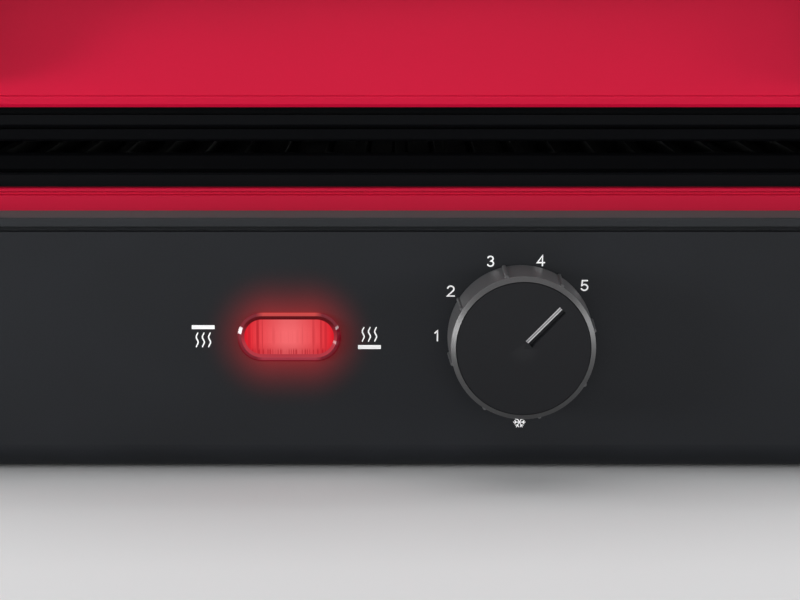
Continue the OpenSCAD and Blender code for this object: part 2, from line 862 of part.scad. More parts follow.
// Knob with a bevelled rim, a fine groove round its domed face and ribs along its wall
module knob() {
  r = knob_d / 2;
  top_r = r - knob_draft;
  rim_r = top_r - knob_bevel;
  face_r = rim_r - knob_groove_w;
  dome_r = (face_r * face_r + knob_dome * knob_dome) / (2 * knob_dome);
  edge_z = knob_h - knob_bevel_h;
  cavity_r = top_r - knob_wall;
  hub_z = bush_out + 2 * fit;
  tilt = atan(knob_draft / (edge_z - knob_gap));
  color(slate) on_panel(knob_x, control_z) difference() {
    union() {
      rotate_extrude() {
        difference() {
          polygon([
            [0, knob_gap], [r, knob_gap], [top_r, edge_z], [rim_r, knob_h],
            [face_r, knob_h - knob_groove_d], [face_r, knob_h], [0, knob_h]
          ]);
          translate([knob_hub_r, 0]) square([cavity_r - knob_hub_r, knob_h - knob_face_t]);
          square([knob_hub_r + eps, hub_z]);
        }
        intersection() {
          translate([0, knob_h + knob_dome - dome_r]) circle(dome_r, $fn = knob_dome_steps);
          translate([0, knob_h - knob_dome]) square([face_r, 3 * knob_dome]);
        }
      }
      for (i = [0 : knob_ribs - 1])
        rotate(pointer_angle + knob_rib_turn + i * 360 / knob_ribs)
          translate([r, 0, knob_gap]) rotate([0, -tilt, 0])
            cylinder(r = knob_rib_r, h = knob_h - knob_rib_stop - knob_gap);
    }
    linear_extrude(knob_h - knob_face_t) shaft_outline(run);
    rotate(pointer_angle) pointer_slot();
  }
}

module knob_pointer() {
  color(steel) on_panel(knob_x, control_z) rotate(pointer_angle)
    translate([pointer_in, pointer_w / 2 - inlay_w, knob_h - pointer_d])
      cube([pointer_out - pointer_in, inlay_w, pointer_d + knob_dome / 2]);
}

// Raised pill with bevelled sides
module bevelled_pill(w, h, bevel, t) {
  half = (w - h) / 2;
  side = [[0, 0], [h / 2, 0], [h / 2 - bevel, t], [0, t]];
  for (s = [0, 1]) mirror([s, 0, 0]) translate([half, 0, 0])
    rotate(-90) rotate_extrude(angle = 180) polygon(side);
  translate([-half, 0, 0]) rotate([90, 0, 90]) linear_extrude(2 * half)
    polygon([[-h / 2, 0], [h / 2, 0], [h / 2 - bevel, t], [bevel - h / 2, t]]);
}

module indicator_lens() {
  pitch = (lens_neck_w - lens_neck_h / 2 - 2 * holder_wall) / lens_rib_n;
  color(lamp_red) on_panel(lens_x, control_z) {
    difference() {
      union() {
        linear_extrude(lens_side) pill(lens_w, lens_h);
        translate([0, 0, lens_side]) bevelled_pill(lens_w, lens_h, lens_bevel, lens_out - lens_side);
        translate([0, 0, -wall - lens_tail])
          linear_extrude(wall + lens_tail + eps) pill(lens_neck_w, lens_neck_h);
      }
      translate([0, 0, -wall - 2 * lens_tail])
        linear_extrude(wall + 2 * lens_tail + lens_out - lens_skin)
          pill(lens_neck_w - 2 * lens_neck_wall, lens_neck_h - 2 * lens_neck_wall);
      translate([0, 0, lens_out]) mirror([0, 0, 1])
        bevelled_pill(lens_w - 2 * lens_ring, lens_h - 2 * lens_ring, lens_slope, lens_dip);
    }
    for (i = [0 : lens_rib_n - 1])
      translate([(i - (lens_rib_n - 1) / 2) * pitch, 0, lens_out - lens_skin - lens_rib_d / 2 + eps / 2])
        cube([lens_rib_w, lens_neck_h / 2, lens_rib_d + eps], center = true);
  }
}

// Cup that clips round the lens neck behind the panel and carries the lamp
module lamp_holder() {
  inner_w = lens_neck_w + 2 * fit;
  inner_h = lens_neck_h + 2 * fit;
  color(cream) on_panel(lens_x, control_z) translate([0, 0, -wall - holder_d]) difference() {
    linear_extrude(holder_d) pill(inner_w + 2 * holder_wall, inner_h + 2 * holder_wall);
    translate([0, 0, holder_wall]) linear_extrude(holder_d) pill(inner_w, inner_h);
  }
}

module indicator_lamp() {
  color(lamp_orange) on_panel(lens_x, control_z) translate([0, 0, -wall - holder_d + holder_wall]) {
    translate([-bulb_l / 2, 0, bulb_d / 2 + fit]) rotate([0, 90, 0])
      cylinder(d = bulb_d, h = bulb_l - bulb_d / 2);
    translate([bulb_l / 2 - bulb_d / 2, 0, bulb_d / 2 + fit]) sphere(d = bulb_d);
  }
}

module cord_gland() {
  color(rubber) translate([gland_x, base_rear, gland_z]) rotate([90, 0, 0]) difference() {
    union() {
      cylinder(d = gland_d, h = gland_l);
      translate([0, 0, wall]) cylinder(d = gland_flange_d, h = gland_flange_t);
    }
    translate([0, 0, -eps]) cylinder(d = gland_bore, h = gland_l + 2 * eps);
  }
}

module terminal_block() {
  y = base_rear - foot_set - block_d;
  color(cream) difference() {
    span([gland_x - block_w / 2, y, z_cover], [gland_x + block_w / 2, y + block_d, z_cover + block_t]);
    for (i = [-1 : 1])
      translate([gland_x + i * block_pitch, y + block_d / 2, z_cover + block_t / 3])
        cylinder(r = screw_r, h = block_t);
  }
}

// Slide with a window that hooks a plate's lug, and the oval button at its outer end.
// Drawn lying at z = 0; face is the x of the button's outer face
module release_slide(face) {
  window_x = lug_x - release_travel - notch_grip;
  difference() {
    span([slide_in, -slide_half, 0], [face - button_l + eps, slide_half, slide_t]);
    span([window_x, -lug_half - fit, -eps],
      [lug_x + lug_t + release_travel + fit, lug_half + fit, slide_t + eps]);
  }
  span([window_x - eps, -lug_half / 2, 0], [lug_x + notch_grip, lug_half / 2, slide_t]);
  translate([face - button_l, 0, slide_t / 2]) rotate([90, 0, 90])
    linear_extrude(button_l) pill(release_w, release_h);
}

// Skin through a stack of rings, closed by the first and the last
module loft(rings) {
  n = len(rings[0]);
  m = len(rings);
  points = [for (g = rings) for (p = g) p];
  sides = [for (k = [0 : m - 2]) for (i = [0 : n - 1])
    let (j = (i + 1) % n, a = k * n + i, b = k * n + j, c = a + n, d = b + n)
    each [[a, c, b], [b, c, d]]];
  first = [for (i = [0 : n - 1]) i];
  last = [for (i = [n - 1 : -1 : 0]) (m - 1) * n + i];
  polyhedron(points, concat([first], sides, [last]));
}

// Coil spring between the cage's bar and the inner end of the slide, one tube wound along +x
function spring_at(i) =
  let (a = 360 * i / spring_steps)
  [spring_wire_r + i * spring_pitch / spring_steps, spring_r * cos(a), spring_r * sin(a)];
function spring_ring(i) =
  let (a = 360 * i / spring_steps)
  [for (k = [0 : spring_sides - 1])
    let (b = 360 * k / spring_sides)
    spring_at(i) + spring_wire_r * [-sin(b), cos(b) * cos(a), cos(b) * sin(a)]];
module release_spring() {
  translate([slide_in - fit - spring_l, 0, slide_t / 2])
    loft([for (i = [0 : spring_turns * spring_steps]) spring_ring(i)]);
}

module lower_release_button() {
  color(black) translate([0, lid_mid, slide_z]) release_slide(base_w / 2 - fit);
}

module lower_release_spring() {
  color(steel) translate([0, lid_mid, slide_z]) release_spring();
}

module upper_release_button() {
  color(black) translate([0, lid_mid, slide_z_up]) release_slide(lid_w / 2 + button_proud);
}

module upper_release_spring() {
  color(steel) translate([0, lid_mid, slide_z_up]) release_spring();
}

module drip_tray() {
  x1 = tray_x + tray_l;
  color(black) difference() {
    span([tray_x, tray_y - tray_w / 2, tray_z], [x1, tray_y + tray_w / 2, tray_z + tray_h]);
    span([tray_x + tray_front_t, tray_y - tray_w / 2 + tray_wall, tray_z + tray_wall],
      [x1 - tray_wall, tray_y + tray_w / 2 - tray_wall, tray_z + tray_h + eps]);
    translate([tray_x, tray_y - tray_scoop_w / 2, tray_z + tray_h / 3]) rotate([-90, 0, 0])
      cylinder(r = tray_scoop_r, h = tray_scoop_w);
  }
}

// Left and right pieces are mirrored about the middle
module right_or_left(side) {
  mirror([side < 0 ? 1 : 0, 0, 0]) children();
}

module tower_screw_places() {
  x = base_w / 2 - wall - deck_lip - screw_head_r - 2 * fit;
  for (s = [-1, 1]) translate([s * x, hinge_y, 0]) children();
}

// Tower seen from the side: a foot that sweeps up from the deck and a round head
module tower_side() {
  y1 = base_rear - tower_set;
  y0 = y1 - 2 * tower_half;
  difference() {
    union() {
      translate([y0 - tower_foot, z_edge])
        square([2 * tower_half + tower_foot, z_deck + tower_foot - z_edge]);
      translate([y0, z_edge]) square([2 * tower_half, z_tower - tower_half - z_edge]);
      translate([y0 + tower_half, z_tower - tower_half]) circle(tower_half);
    }
    translate([y0 - tower_foot, z_deck + tower_foot]) circle(tower_foot);
  }
}

// Post at a rear corner of the base, with a pocket in which the hinge block slides
module hinge_tower() {
  difference() {
    intersection() {
      base_slab(tower_set, z_edge, z_tower);
      translate([tower_x, 0, 0]) rotate([90, 0, 90]) linear_extrude(base_w) tower_side();
    }
    carry_base() deck_profile();
    base_slab(ledge_front - eps, z_edge - eps, z_deck);
    span([tower_x - eps, hinge_y - pocket_half, hinge_z - block_h],
      [tower_x + pocket_d, hinge_y + pocket_half, hinge_z + block_h + float_travel + fit]);
    tower_screw_places() cylinder(r = screw_r, h = hinge_z - block_h - pocket_floor);
  }
}

module hinge_tower_left() {
  color(slate) right_or_left(-1) hinge_tower();
}

module hinge_tower_right() {
  color(slate) right_or_left(1) hinge_tower();
}

module tower_screws() {
  color(dull_steel) tower_screw_places() translate([0, 0, z_deck - deck_t])
    screw(hinge_z - block_h - pocket_floor - fit - z_deck + deck_t);
}

module hinge_block() {
  x1 = tower_x + pocket_d - block_slack;
  half = pocket_half - block_slack;
  difference() {
    span([tower_x, hinge_y - half, hinge_z - block_h], [x1, hinge_y + half, hinge_z + block_h]);
    translate([tower_x - eps, hinge_y, hinge_z]) rotate([0, 90, 0])
      cylinder(d = pin_d, h = pocket_d - block_back);
  }
}

module hinge_block_left() {
  color(cream) right_or_left(-1) hinge_block();
}

module hinge_block_right() {
  color(cream) right_or_left(1) hinge_block();
}

module hinge_pin() {
  x0 = arm_x - arm_t - fit;
  translate([0, hinge_y, hinge_z]) rotate([0, 90, 0]) {
    translate([0, 0, x0 - pin_head_t]) cylinder(r = pin_head_r, h = pin_head_t);
    translate([0, 0, x0 - eps]) cylinder(d = pin_d, h = tower_x + pocket_d - block_back - x0);
  }
}

module hinge_pin_left() {
  color(steel) right_or_left(-1) hinge_pin();
}

module hinge_pin_right() {
  color(steel) right_or_left(1) hinge_pin();
}

// Steel arm: a foot on the lid frame and an eye on the hinge pin
module hinge_arm() {
  difference() {
    union() {
      span([arm_x - arm_foot_w, arm_y, z_lid - arm_drop], [arm_x, arm_y + arm_t, z_lid + arm_foot_h]);
      translate([arm_x - arm_t, 0, 0]) rotate([90, 0, 90]) linear_extrude(arm_t) {
        polygon([
          [arm_y, z_lid + arm_foot_h], [arm_y, z_lid - arm_drop],
          [hinge_y + arm_eye_r * cos(arm_under), hinge_z + arm_eye_r * sin(arm_under)],
          [hinge_y + arm_eye_r * cos(arm_over), hinge_z + arm_eye_r * sin(arm_over)]
        ]);
        translate([hinge_y, hinge_z]) circle(arm_eye_r);
      }
    }
    translate([arm_x - 2 * arm_t, hinge_y, hinge_z]) rotate([0, 90, 0])
      cylinder(d = pin_d + 2 * run, h = 3 * arm_t);
    hinge_screw_places() translate([0, 0, -2 * arm_t]) cylinder(r = screw_r + run, h = 4 * arm_t);
  }
}

// Screw places on the right arm's foot; z points from the outside into the lid frame
module hinge_screw_places() {
  z = z_lid + arm_foot_h - screw_head_r - hinge_screw_set;
  for (u = hinge_screw_at)
    translate([arm_x - arm_foot_w * (1 - u), arm_y + arm_t, z]) rotate([90, 0, 0]) children();
}

module hinge_arm_left() {
  color(steel) right_or_left(-1) hinge_arm();
}

module hinge_arm_right() {
  color(steel) right_or_left(1) hinge_arm();
}

module hinge_screws() {
  color(dull_steel) for (s = [-1, 1]) right_or_left(s)
    hinge_screw_places() screw(arm_t + frame_wall - fit);
}

// Section of the lid's wall: lip, upright face and the round that leads to the top, and the space inside it
module lid_wall_outside() {
  polygon([
    [-top_set, z_lid], [-lip_fall - lip_chamfer, z_lid], [-lip_fall, z_lid + lip_chamfer],
    [0, z_lid + lid_lip_h - lid_lip_out], [0, z_lid + lid_lip_h],
    [-lid_lip_out, z_lid + lid_lip_h + lip_step], [-lid_lip_out, z_round], [-top_set, z_round]
  ]);
  intersection() {
    translate([-top_set, z_round]) circle(lid_round);
    translate([-top_set, z_round]) square(lid_round);
  }
}
module lid_wall_inside() {
  translate([-top_set - eps, z_lid - eps]) square([lid_round + eps - lid_wall, z_round - z_lid + eps]);
  translate([-top_set, z_round]) circle(lid_round - lid_wall);
}

module lid_shell() {
  color(red) difference() {
    union() {
      carry_lid() difference() {
        lid_wall_outside();
        lid_wall_inside();
      }
      lid_slab(top_set - eps, z_lid_top - lid_wall, z_lid_top);
    }
    for (s = [-1, 1]) right_or_left(s) {
      span([arm_x - arm_foot_w - fit, arm_y - fit, z_lid - lid_h / 2],
        [arm_x + fit, lid_rear + lid_wall, z_lid + arm_foot_h + fit]);
      handle_screw_places() translate([0, 0, -2 * lid_wall]) cylinder(r = screw_r + fit, h = 4 * lid_wall);
    }
    translate([lid_w / 2 - 2 * lid_wall, lid_mid, slide_z_up + slide_t / 2]) rotate([90, 0, 90])
      linear_extrude(3 * lid_wall) pill(release_w + 2 * fit, release_h + 2 * fit);
  }
}

// Black frame that stiffens the lid and seats the upper plate
module lid_frame() {
  in_wall = lid_wall + lid_lip_out + fit;
  rail = in_wall + frame_wall;
  z_step = z_lid + fit;
  color(black) {
    difference() {
      carry_lid() polygon([
        [-seat_set, z_frame + plate_chamfer], [-seat_set, z_band_up], [-seat_set - frame_neck, z_band_up],
        [-seat_set - frame_neck, z_step], [-in_wall, z_step], [-in_wall, z_lid + frame_lip_h],
        [-rail, z_lid + frame_lip_h], [-rail, z_frame_in], [-seat_in, z_frame_in], [-seat_in, z_frame],
        [-seat_set - plate_chamfer, z_frame]
      ]);
      for (s = [-1, 1]) right_or_left(s)
        hinge_screw_places() translate([0, 0, -eps]) cylinder(r = screw_r, h = arm_t + 2 * frame_wall);
    }
    translate([0, lid_mid, slide_z_up]) slide_cage(z_frame_in - slide_z_up - eps);
  }
}

// Screw places of the right handle arm; z points from inside the lid to the front
module handle_screw_places() {
  for (u = handle_screw_at)
    translate([handle_x, lid_face + lid_wall, pad_z + u * pad_h]) rotate([90, 0, 0]) children();
}

// Arm: a pad on the lid's face that sweeps forward and up to an eye round the grip
module handle_arm() {
  difference() {
    translate([handle_x - handle_arm_w / 2, 0, 0]) rotate([90, 0, 90]) linear_extrude(handle_arm_w) {
      difference() {
        polygon([
          [lid_face, pad_z], [lid_face, pad_z + pad_h], [lid_face - pad_t, pad_z + pad_h],
          [grip_y + grip_eye_r * cos(eye_turn), grip_z + grip_eye_r * sin(eye_turn)],
          [grip_y - grip_eye_r * cos(eye_turn), grip_z - grip_eye_r * sin(eye_turn)],
          [lid_face - pad_t, pad_z]
        ]);
        translate([grip_y + sweep_low[0], grip_z + sweep_low[1]]) circle(sweep_low[2]);
        translate([grip_y + sweep_high[0], grip_z + sweep_high[1]]) circle(sweep_high[2]);
      }
      translate([grip_y, grip_z]) circle(grip_eye_r);
    }
    translate([handle_x - handle_arm_w / 2 - eps, grip_y, grip_z]) rotate([0, 90, 0])
      cylinder(d = grip_d + 2 * run, h = socket_d + eps);
    handle_screw_places() cylinder(r = screw_r, h = lid_wall + handle_bite + fit);
  }
}

module handle_arm_left() {
  color(slate) right_or_left(-1) handle_arm();
}

module handle_arm_right() {
  color(slate) right_or_left(1) handle_arm();
}

module handle_grip() {
  color(steel) translate([-grip_half, grip_y, grip_z]) rotate([0, 90, 0]) difference() {
    cylinder(d = grip_d, h = 2 * grip_half);
    translate([0, 0, -eps]) cylinder(d = grip_d - 2 * grip_wall, h = 2 * grip_half + 2 * eps);
  }
}

module handle_screws() {
  color(dull_steel) for (s = [-1, 1]) right_or_left(s) handle_screw_places() screw(lid_wall + handle_bite);
}

base_housing();
base_deck();
bottom_cover();
feet();
bottom_screws();
lower_trim();
lower_plate_seat();
lower_grill_plate();
lower_reflector();
lower_heating_element();
drain_chute();
thermostat();
thermostat_nut();
thermostat_shaft();
knob();
knob_pointer();
indicator_lens();
lamp_holder();
indicator_lamp();
cord_gland();
terminal_block();
lower_release_button();
lower_release_spring();
drip_tray();
hinge_tower_left();
hinge_tower_right();
tower_screws();
hinge_block_left();
hinge_block_right();
hinge_pin_left();
hinge_pin_right();
hinge_arm_left();
hinge_arm_right();
hinge_screws();
lid_shell();
lid_frame();
upper_grill_plate();
upper_reflector();
upper_heating_element();
upper_release_button();
upper_release_spring();
handle_arm_left();
handle_arm_right();
handle_grip();
handle_screws();
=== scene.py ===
"""Looks of the electric contact grill: finishes, dial print, lamp glow, floor, light and camera."""

import json
import math

import bmesh
import bpy
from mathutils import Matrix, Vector


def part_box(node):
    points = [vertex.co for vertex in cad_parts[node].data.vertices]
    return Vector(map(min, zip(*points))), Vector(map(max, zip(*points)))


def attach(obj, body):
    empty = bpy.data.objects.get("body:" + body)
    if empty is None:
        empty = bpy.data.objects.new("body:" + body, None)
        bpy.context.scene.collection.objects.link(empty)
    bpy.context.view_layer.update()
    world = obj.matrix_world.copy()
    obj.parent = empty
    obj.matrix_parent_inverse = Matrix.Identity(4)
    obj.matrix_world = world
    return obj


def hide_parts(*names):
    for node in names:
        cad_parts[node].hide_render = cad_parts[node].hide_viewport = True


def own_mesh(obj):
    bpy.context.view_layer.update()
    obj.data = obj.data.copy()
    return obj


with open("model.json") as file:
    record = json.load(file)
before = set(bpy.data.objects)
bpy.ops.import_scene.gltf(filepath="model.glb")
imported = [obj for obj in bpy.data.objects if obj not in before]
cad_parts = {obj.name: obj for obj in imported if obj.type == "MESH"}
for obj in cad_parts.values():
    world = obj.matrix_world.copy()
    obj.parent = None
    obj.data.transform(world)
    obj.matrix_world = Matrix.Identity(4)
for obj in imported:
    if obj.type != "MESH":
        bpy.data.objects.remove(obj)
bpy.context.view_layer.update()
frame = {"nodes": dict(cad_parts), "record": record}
nodes = frame["nodes"]

MM = 0.001

# Places on the control panel, from the frame
housing_low, housing_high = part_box("base_housing")
lens_low, lens_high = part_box("indicator_lens")
knob_low, knob_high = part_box("knob")
panel_y = housing_low.y
lens_mid = (lens_low + lens_high) / 2
lens_half = (lens_high - lens_low) / 2
knob_mid = (knob_low + knob_high) / 2


# Shader helpers

# Noise seldom leaves the wide range, and mostly stays in the narrow one
NOISE_LOW = 0.3
NOISE_HIGH = 0.7
NARROW_LOW = 0.35
NARROW_HIGH = 0.65
# Layers of detail in a noise
PLAIN = 1.0
SOFT = 2.0
RICH = 3.0
# Sockets of a Mix node that mixes colours
MIX_FACTOR = 0
MIX_FIRST = 6
MIX_SECOND = 7
MIX_RESULT = 2
BEVEL_SAMPLES = 6


def rgb(r, g, b):
    return (r, g, b, 1.0)


def scaled(colour, share):
    return rgb(*(part * share for part in colour))


class Shader:
    """A principled material with the few procedural nodes that this scene needs."""

    def __init__(self, name, **values):
        self.material = bpy.data.materials.new(name)
        self.material.use_nodes = True
        self.tree = self.material.node_tree
        self.surface = self.tree.nodes["Principled BSDF"]
        self.place = self.add("ShaderNodeTexCoord").outputs["Object"]
        for socket, value in values.items():
            self.surface.inputs[socket.replace("_", " ")].default_value = value

    def add(self, kind, links=None, **settings):
        """A new node with its settings, and with each socket linked or given its value."""
        node = self.tree.nodes.new(kind)
        for name, value in settings.items():
            setattr(node, name, value)
        for socket, value in (links or {}).items():
            if isinstance(value, bpy.types.NodeSocket):
                self.tree.links.new(value, node.inputs[socket])
            else:
                node.inputs[socket].default_value = value
        return node

    def link(self, value, socket):
        self.tree.links.new(value, self.surface.inputs[socket])

    def math(self, operation, a, b=0.0):
        return self.add("ShaderNodeMath", {0: a, 1: b}, operation=operation).outputs[0]

    def length(self, a, b):
        """Length of a line from its two components."""
        squares = self.math("ADD", self.math("POWER", a, 2.0), self.math("POWER", b, 2.0))
        return self.math("SQRT", squares)

    def past(self, axis, start):
        """How far a point is past a start along one axis."""
        where = self.add("ShaderNodeSeparateXYZ", {0: self.place})
        return self.math("SUBTRACT", where.outputs[axis], start)

    def beyond(self, axis, low, high):
        """How far a point is outside low to high along one axis; inside it is negative."""
        off_middle = self.math("ABSOLUTE", self.past(axis, (low + high) / 2))
        return self.math("SUBTRACT", off_middle, (high - low) / 2)

    def stretched(self, x, y, z):
        """Object coordinates with each axis scaled, for grain that runs along one way."""
        node = self.add("ShaderNodeMapping", {"Vector": self.place, "Scale": (x, y, z)})
        return node.outputs["Vector"]

    def noise(self, size, detail=SOFT, at=None):
        """Noise whose blotches are about this many metres across, from 0 to 1."""
        links = {"Vector": at or self.place, "Scale": 1.0 / size, "Detail": detail}
        return self.add("ShaderNodeTexNoise", links).outputs["Fac"]

    def weigh(self, first, share, second):
        """Two noises in one, with this share of the first."""
        of_first = self.math("MULTIPLY", first, share)
        return self.math("ADD", of_first, self.math("MULTIPLY", second, 1.0 - share))

    def ramp(self, factor, low, high, start=0.0, end=1.0):
        """Values from start to end as the factor goes from low to high."""
        links = {"Value": factor, "From Min": low, "From Max": high, "To Min": start, "To Max": end}
        return self.add("ShaderNodeMapRange", links).outputs["Result"]

    def drift(self, noise, start=0.0, end=1.0):
        """Values from start to end as a noise goes over its wide range."""
        return self.ramp(noise, NOISE_LOW, NOISE_HIGH, start, end)

    def contrast(self, noise):
        """0 to 1 as a noise goes over its narrow range."""
        return self.ramp(noise, NARROW_LOW, NARROW_HIGH)

    def blend(self, factor, first, second):
        """A colour between two colours."""
        links = {MIX_FACTOR: factor, MIX_FIRST: first, MIX_SECOND: second}
        return self.add("ShaderNodeMix", links, data_type="RGBA").outputs[MIX_RESULT]

    def bump(self, height, depth, edge):
        """Bump of this depth in metres; edges look rounded by the edge radius."""
        bevel = self.add("ShaderNodeBevel", {"Radius": edge}, samples=BEVEL_SAMPLES)
        links = {"Height": height, "Distance": depth, "Strength": 1.0, "Normal": bevel.outputs["Normal"]}
        self.link(self.add("ShaderNodeBump", links).outputs["Normal"], "Normal")


# Finishes of the plastics

PLASTIC_DRIFT = 35 * MM
PLASTIC_FINE_SHARE = 0.4
PLASTIC_TONE_SWING = 0.18
PLASTIC_SMOOTHER = 0.04
PLASTIC_ROUGHER = 0.05
PLASTIC_EDGE = 0.25 * MM


def grained_plastic(name, colour, roughness, grain, depth, glow=False, **values):
    """Moulded plastic: a fine spark-eroded grain, slow drift in tone and softened edges."""
    shader = Shader(name, **values)
    fine = shader.noise(grain)
    slow = shader.noise(PLASTIC_DRIFT)
    tone = shader.contrast(shader.weigh(fine, PLASTIC_FINE_SHARE, slow))
    dark = scaled(colour, 1 - PLASTIC_TONE_SWING)
    light = scaled(colour, 1 + PLASTIC_TONE_SWING)
    shader.link(shader.blend(tone, dark, light), "Base Color")
    least = roughness - PLASTIC_SMOOTHER
    most = roughness + PLASTIC_ROUGHER
    shader.link(shader.drift(slow, least, most), "Roughness")
    shader.bump(fine, depth, PLASTIC_EDGE)
    if glow:
        painted_lens_halo(shader)
    return shader.material


def from_lens(shader, shorter=0.0):
    """Place along the lens, height above its middle, and distance out from its pill-shaped edge."""
    straight = lens_half.x - lens_half.z - shorter
    along = shader.past("X", lens_mid.x)
    up = shader.past("Z", lens_mid.z)
    into_round = shader.math("SUBTRACT", shader.math("ABSOLUTE", along), straight)
    reach = shader.length(shader.math("MAXIMUM", into_round, 0.0), up)
    return along, up, shader.math("SUBTRACT", reach, lens_half.z)


# Painted light: the halo of the lit lens on the panel is emission in the panel's own material
PAINTED_HALO_COLOUR = rgb(0.215, 0.006, 0.008)
GLOW_REACH = 14 * MM
GLOW_FALL = 2.6
GLOW_SHORTER = 3 * MM
# The glow ends between these depths behind the panel's front
GLOW_FRONT = 0.5 * MM
GLOW_BACK = 2 * MM


def painted_lens_halo(shader):
    """Painted glow: the red light of the lit lens, painted as emission on the front of the plastic round
    it, fading to nothing.
    """
    away = from_lens(shader, GLOW_SHORTER)[-1]
    near_painted_light = shader.math("POWER", shader.ramp(away, 0.0, GLOW_REACH, 1.0, 0.0), GLOW_FALL)
    in_front = shader.ramp(shader.past("Y", panel_y), GLOW_FRONT, GLOW_BACK, 1.0, 0.0)
    glow = shader.blend(shader.math("MULTIPLY", near_painted_light, in_front), rgb(0.0, 0.0, 0.0), PAINTED_HALO_COLOUR)
    shader.link(glow, "Emission Color")
    shader.surface.inputs["Emission Strength"].default_value = 1.0


RED_DARK = (0.625, 0.0045, 0.0395)
RED_LIGHT = (0.665, 0.0055, 0.0445)
RED_DRIFT = 60 * MM
RED_DRIFT_SHARE = 0.7
RED_SPECK = 0.5 * MM
RED_PEEL = 2.2 * MM
RED_PEEL_DEPTH = 0.006 * MM
RED_EDGE = 0.2 * MM
RED_ROUGHNESS = (0.40, 0.43)


def red_plastic(name, share=1.0):
    """Satin red moulding with a faint orange-peel surface; share makes its colour deeper, as painted
    shade for a moulding under an overhang.
    """
    shader = Shader(name, Coat_Weight=0.04, Coat_Roughness=0.16, Specular_IOR_Level=0.12)
    slow = shader.noise(RED_DRIFT)
    speck = shader.noise(RED_SPECK, PLAIN)
    tone = shader.drift(shader.weigh(slow, RED_DRIFT_SHARE, speck))
    shader.link(shader.blend(tone, scaled(RED_DARK, share), scaled(RED_LIGHT, share)), "Base Color")
    shader.link(shader.drift(slow, *RED_ROUGHNESS), "Roughness")
    shader.bump(shader.noise(RED_PEEL), RED_PEEL_DEPTH, RED_EDGE)
    return shader.material


def on_knob(shader):
    """Place to the right of the knob's axis and above it."""
    return shader.past("X", knob_mid.x), shader.past("Z", knob_mid.z)


# The knob's bevel begins at the first radius and its wall at the second
KNOB_BEVEL_R = 18.05 * MM
KNOB_WALL_R = 19.35 * MM
KNOB_SOFT = 0.05 * MM
KNOB_GRAIN = 0.4 * MM
KNOB_GRAIN_DEPTH = 0.004 * MM
KNOB_EDGE = 0.08 * MM
KNOB_FACE_TONES = (rgb(0.0098, 0.0104, 0.0122), rgb(0.0126, 0.0132, 0.0150))
KNOB_BEVEL_TONES = (rgb(0.018, 0.0185, 0.020), rgb(0.022, 0.0225, 0.024))
# The wall's paler tones are painted light that stands in for the side light on it
KNOB_WALL_PAINTED_LIGHT_TONES = (rgb(0.056, 0.057, 0.060), rgb(0.072, 0.073, 0.076))
# On the face, and beyond it
KNOB_SPECULAR = (0.14, 1.0)
KNOB_ROUGHNESS = (0.46, 0.44)


def knob_plastic(name):
    """Satin knob: a dark grained face, a glossy bevel round it, and a wall painted paler as painted
    light that stands in for the side light on it.
    """
    shader = Shader(name, Specular_IOR_Level=0.3)
    reach = shader.length(*on_knob(shader))
    bevel = shader.ramp(reach, KNOB_BEVEL_R - KNOB_SOFT, KNOB_BEVEL_R + KNOB_SOFT)
    wall_painted_light = shader.ramp(reach, KNOB_WALL_R - KNOB_SOFT, KNOB_WALL_R + KNOB_SOFT)
    fine = shader.noise(KNOB_GRAIN)
    face_colour = shader.blend(fine, *KNOB_FACE_TONES)
    bevel_colour = shader.blend(fine, *KNOB_BEVEL_TONES)
    wall_painted_light_colour = shader.blend(fine, *KNOB_WALL_PAINTED_LIGHT_TONES)
    colour = shader.blend(wall_painted_light, shader.blend(bevel, face_colour, bevel_colour), wall_painted_light_colour)
    shader.link(colour, "Base Color")
    shader.link(shader.ramp(bevel, 0.0, 1.0, *KNOB_SPECULAR), "Specular IOR Level")
    shader.link(shader.ramp(bevel, 0.0, 1.0, *KNOB_ROUGHNESS), "Roughness")
    shader.bump(fine, KNOB_GRAIN_DEPTH, KNOB_EDGE)
    return shader.material


# The pointer rises at this angle, and its middle line passes this far from the knob's axis
POINTER_SLANT = math.radians(45.4)
POINTER_OFF_AXIS = 0.7 * MM
POINTER_CORE = (0.10 * MM, 0.20 * MM)
POINTER_CORE_SHARE = 0.75
POINTER_TONES = (rgb(0.52, 0.52, 0.53), rgb(0.10, 0.10, 0.11))
POINTER_GRAIN = 0.3 * MM
POINTER_ROUGHNESS = (0.30, 0.42)


def pointer_silver(name):
    """Silver inlay with polished edges and a darker brushed core."""
    shader = Shader(name, Metallic=0.4)
    across, up = on_knob(shader)
    rise = shader.math("MULTIPLY", up, math.cos(POINTER_SLANT))
    run = shader.math("MULTIPLY", across, math.sin(POINTER_SLANT))
    aside = shader.math("SUBTRACT", rise, run)
    off = shader.math("ABSOLUTE", shader.math("SUBTRACT", aside, POINTER_OFF_AXIS))
    core = shader.ramp(off, *POINTER_CORE, POINTER_CORE_SHARE, 0.0)
    shader.link(shader.blend(core, *POINTER_TONES), "Base Color")
    shader.link(shader.drift(shader.noise(POINTER_GRAIN, RICH), *POINTER_ROUGHNESS), "Roughness")
    return shader.material


# Widths of the lens's bevel and of bevel and slope together, lower side and upper side
LENS_BEVEL = 1.15 * MM
LENS_BEVEL_ABOVE = 0.70 * MM
LENS_SLOPE = 1.95 * MM
LENS_SLOPE_ABOVE = 1.65 * MM
LENS_BEVEL_SOFT = 0.1 * MM
LENS_SLOPE_SOFT = 0.15 * MM
# Where its lower side passes into its upper side, and its straight edge into its round ends
LENS_UPPER = (-0.3 * lens_half.z, 0.6 * lens_half.z)
LENS_STRAIGHT = lens_half.x - lens_half.z
LENS_ROUND = (LENS_STRAIGHT - 0.4 * MM, LENS_STRAIGHT + 1.6 * MM)
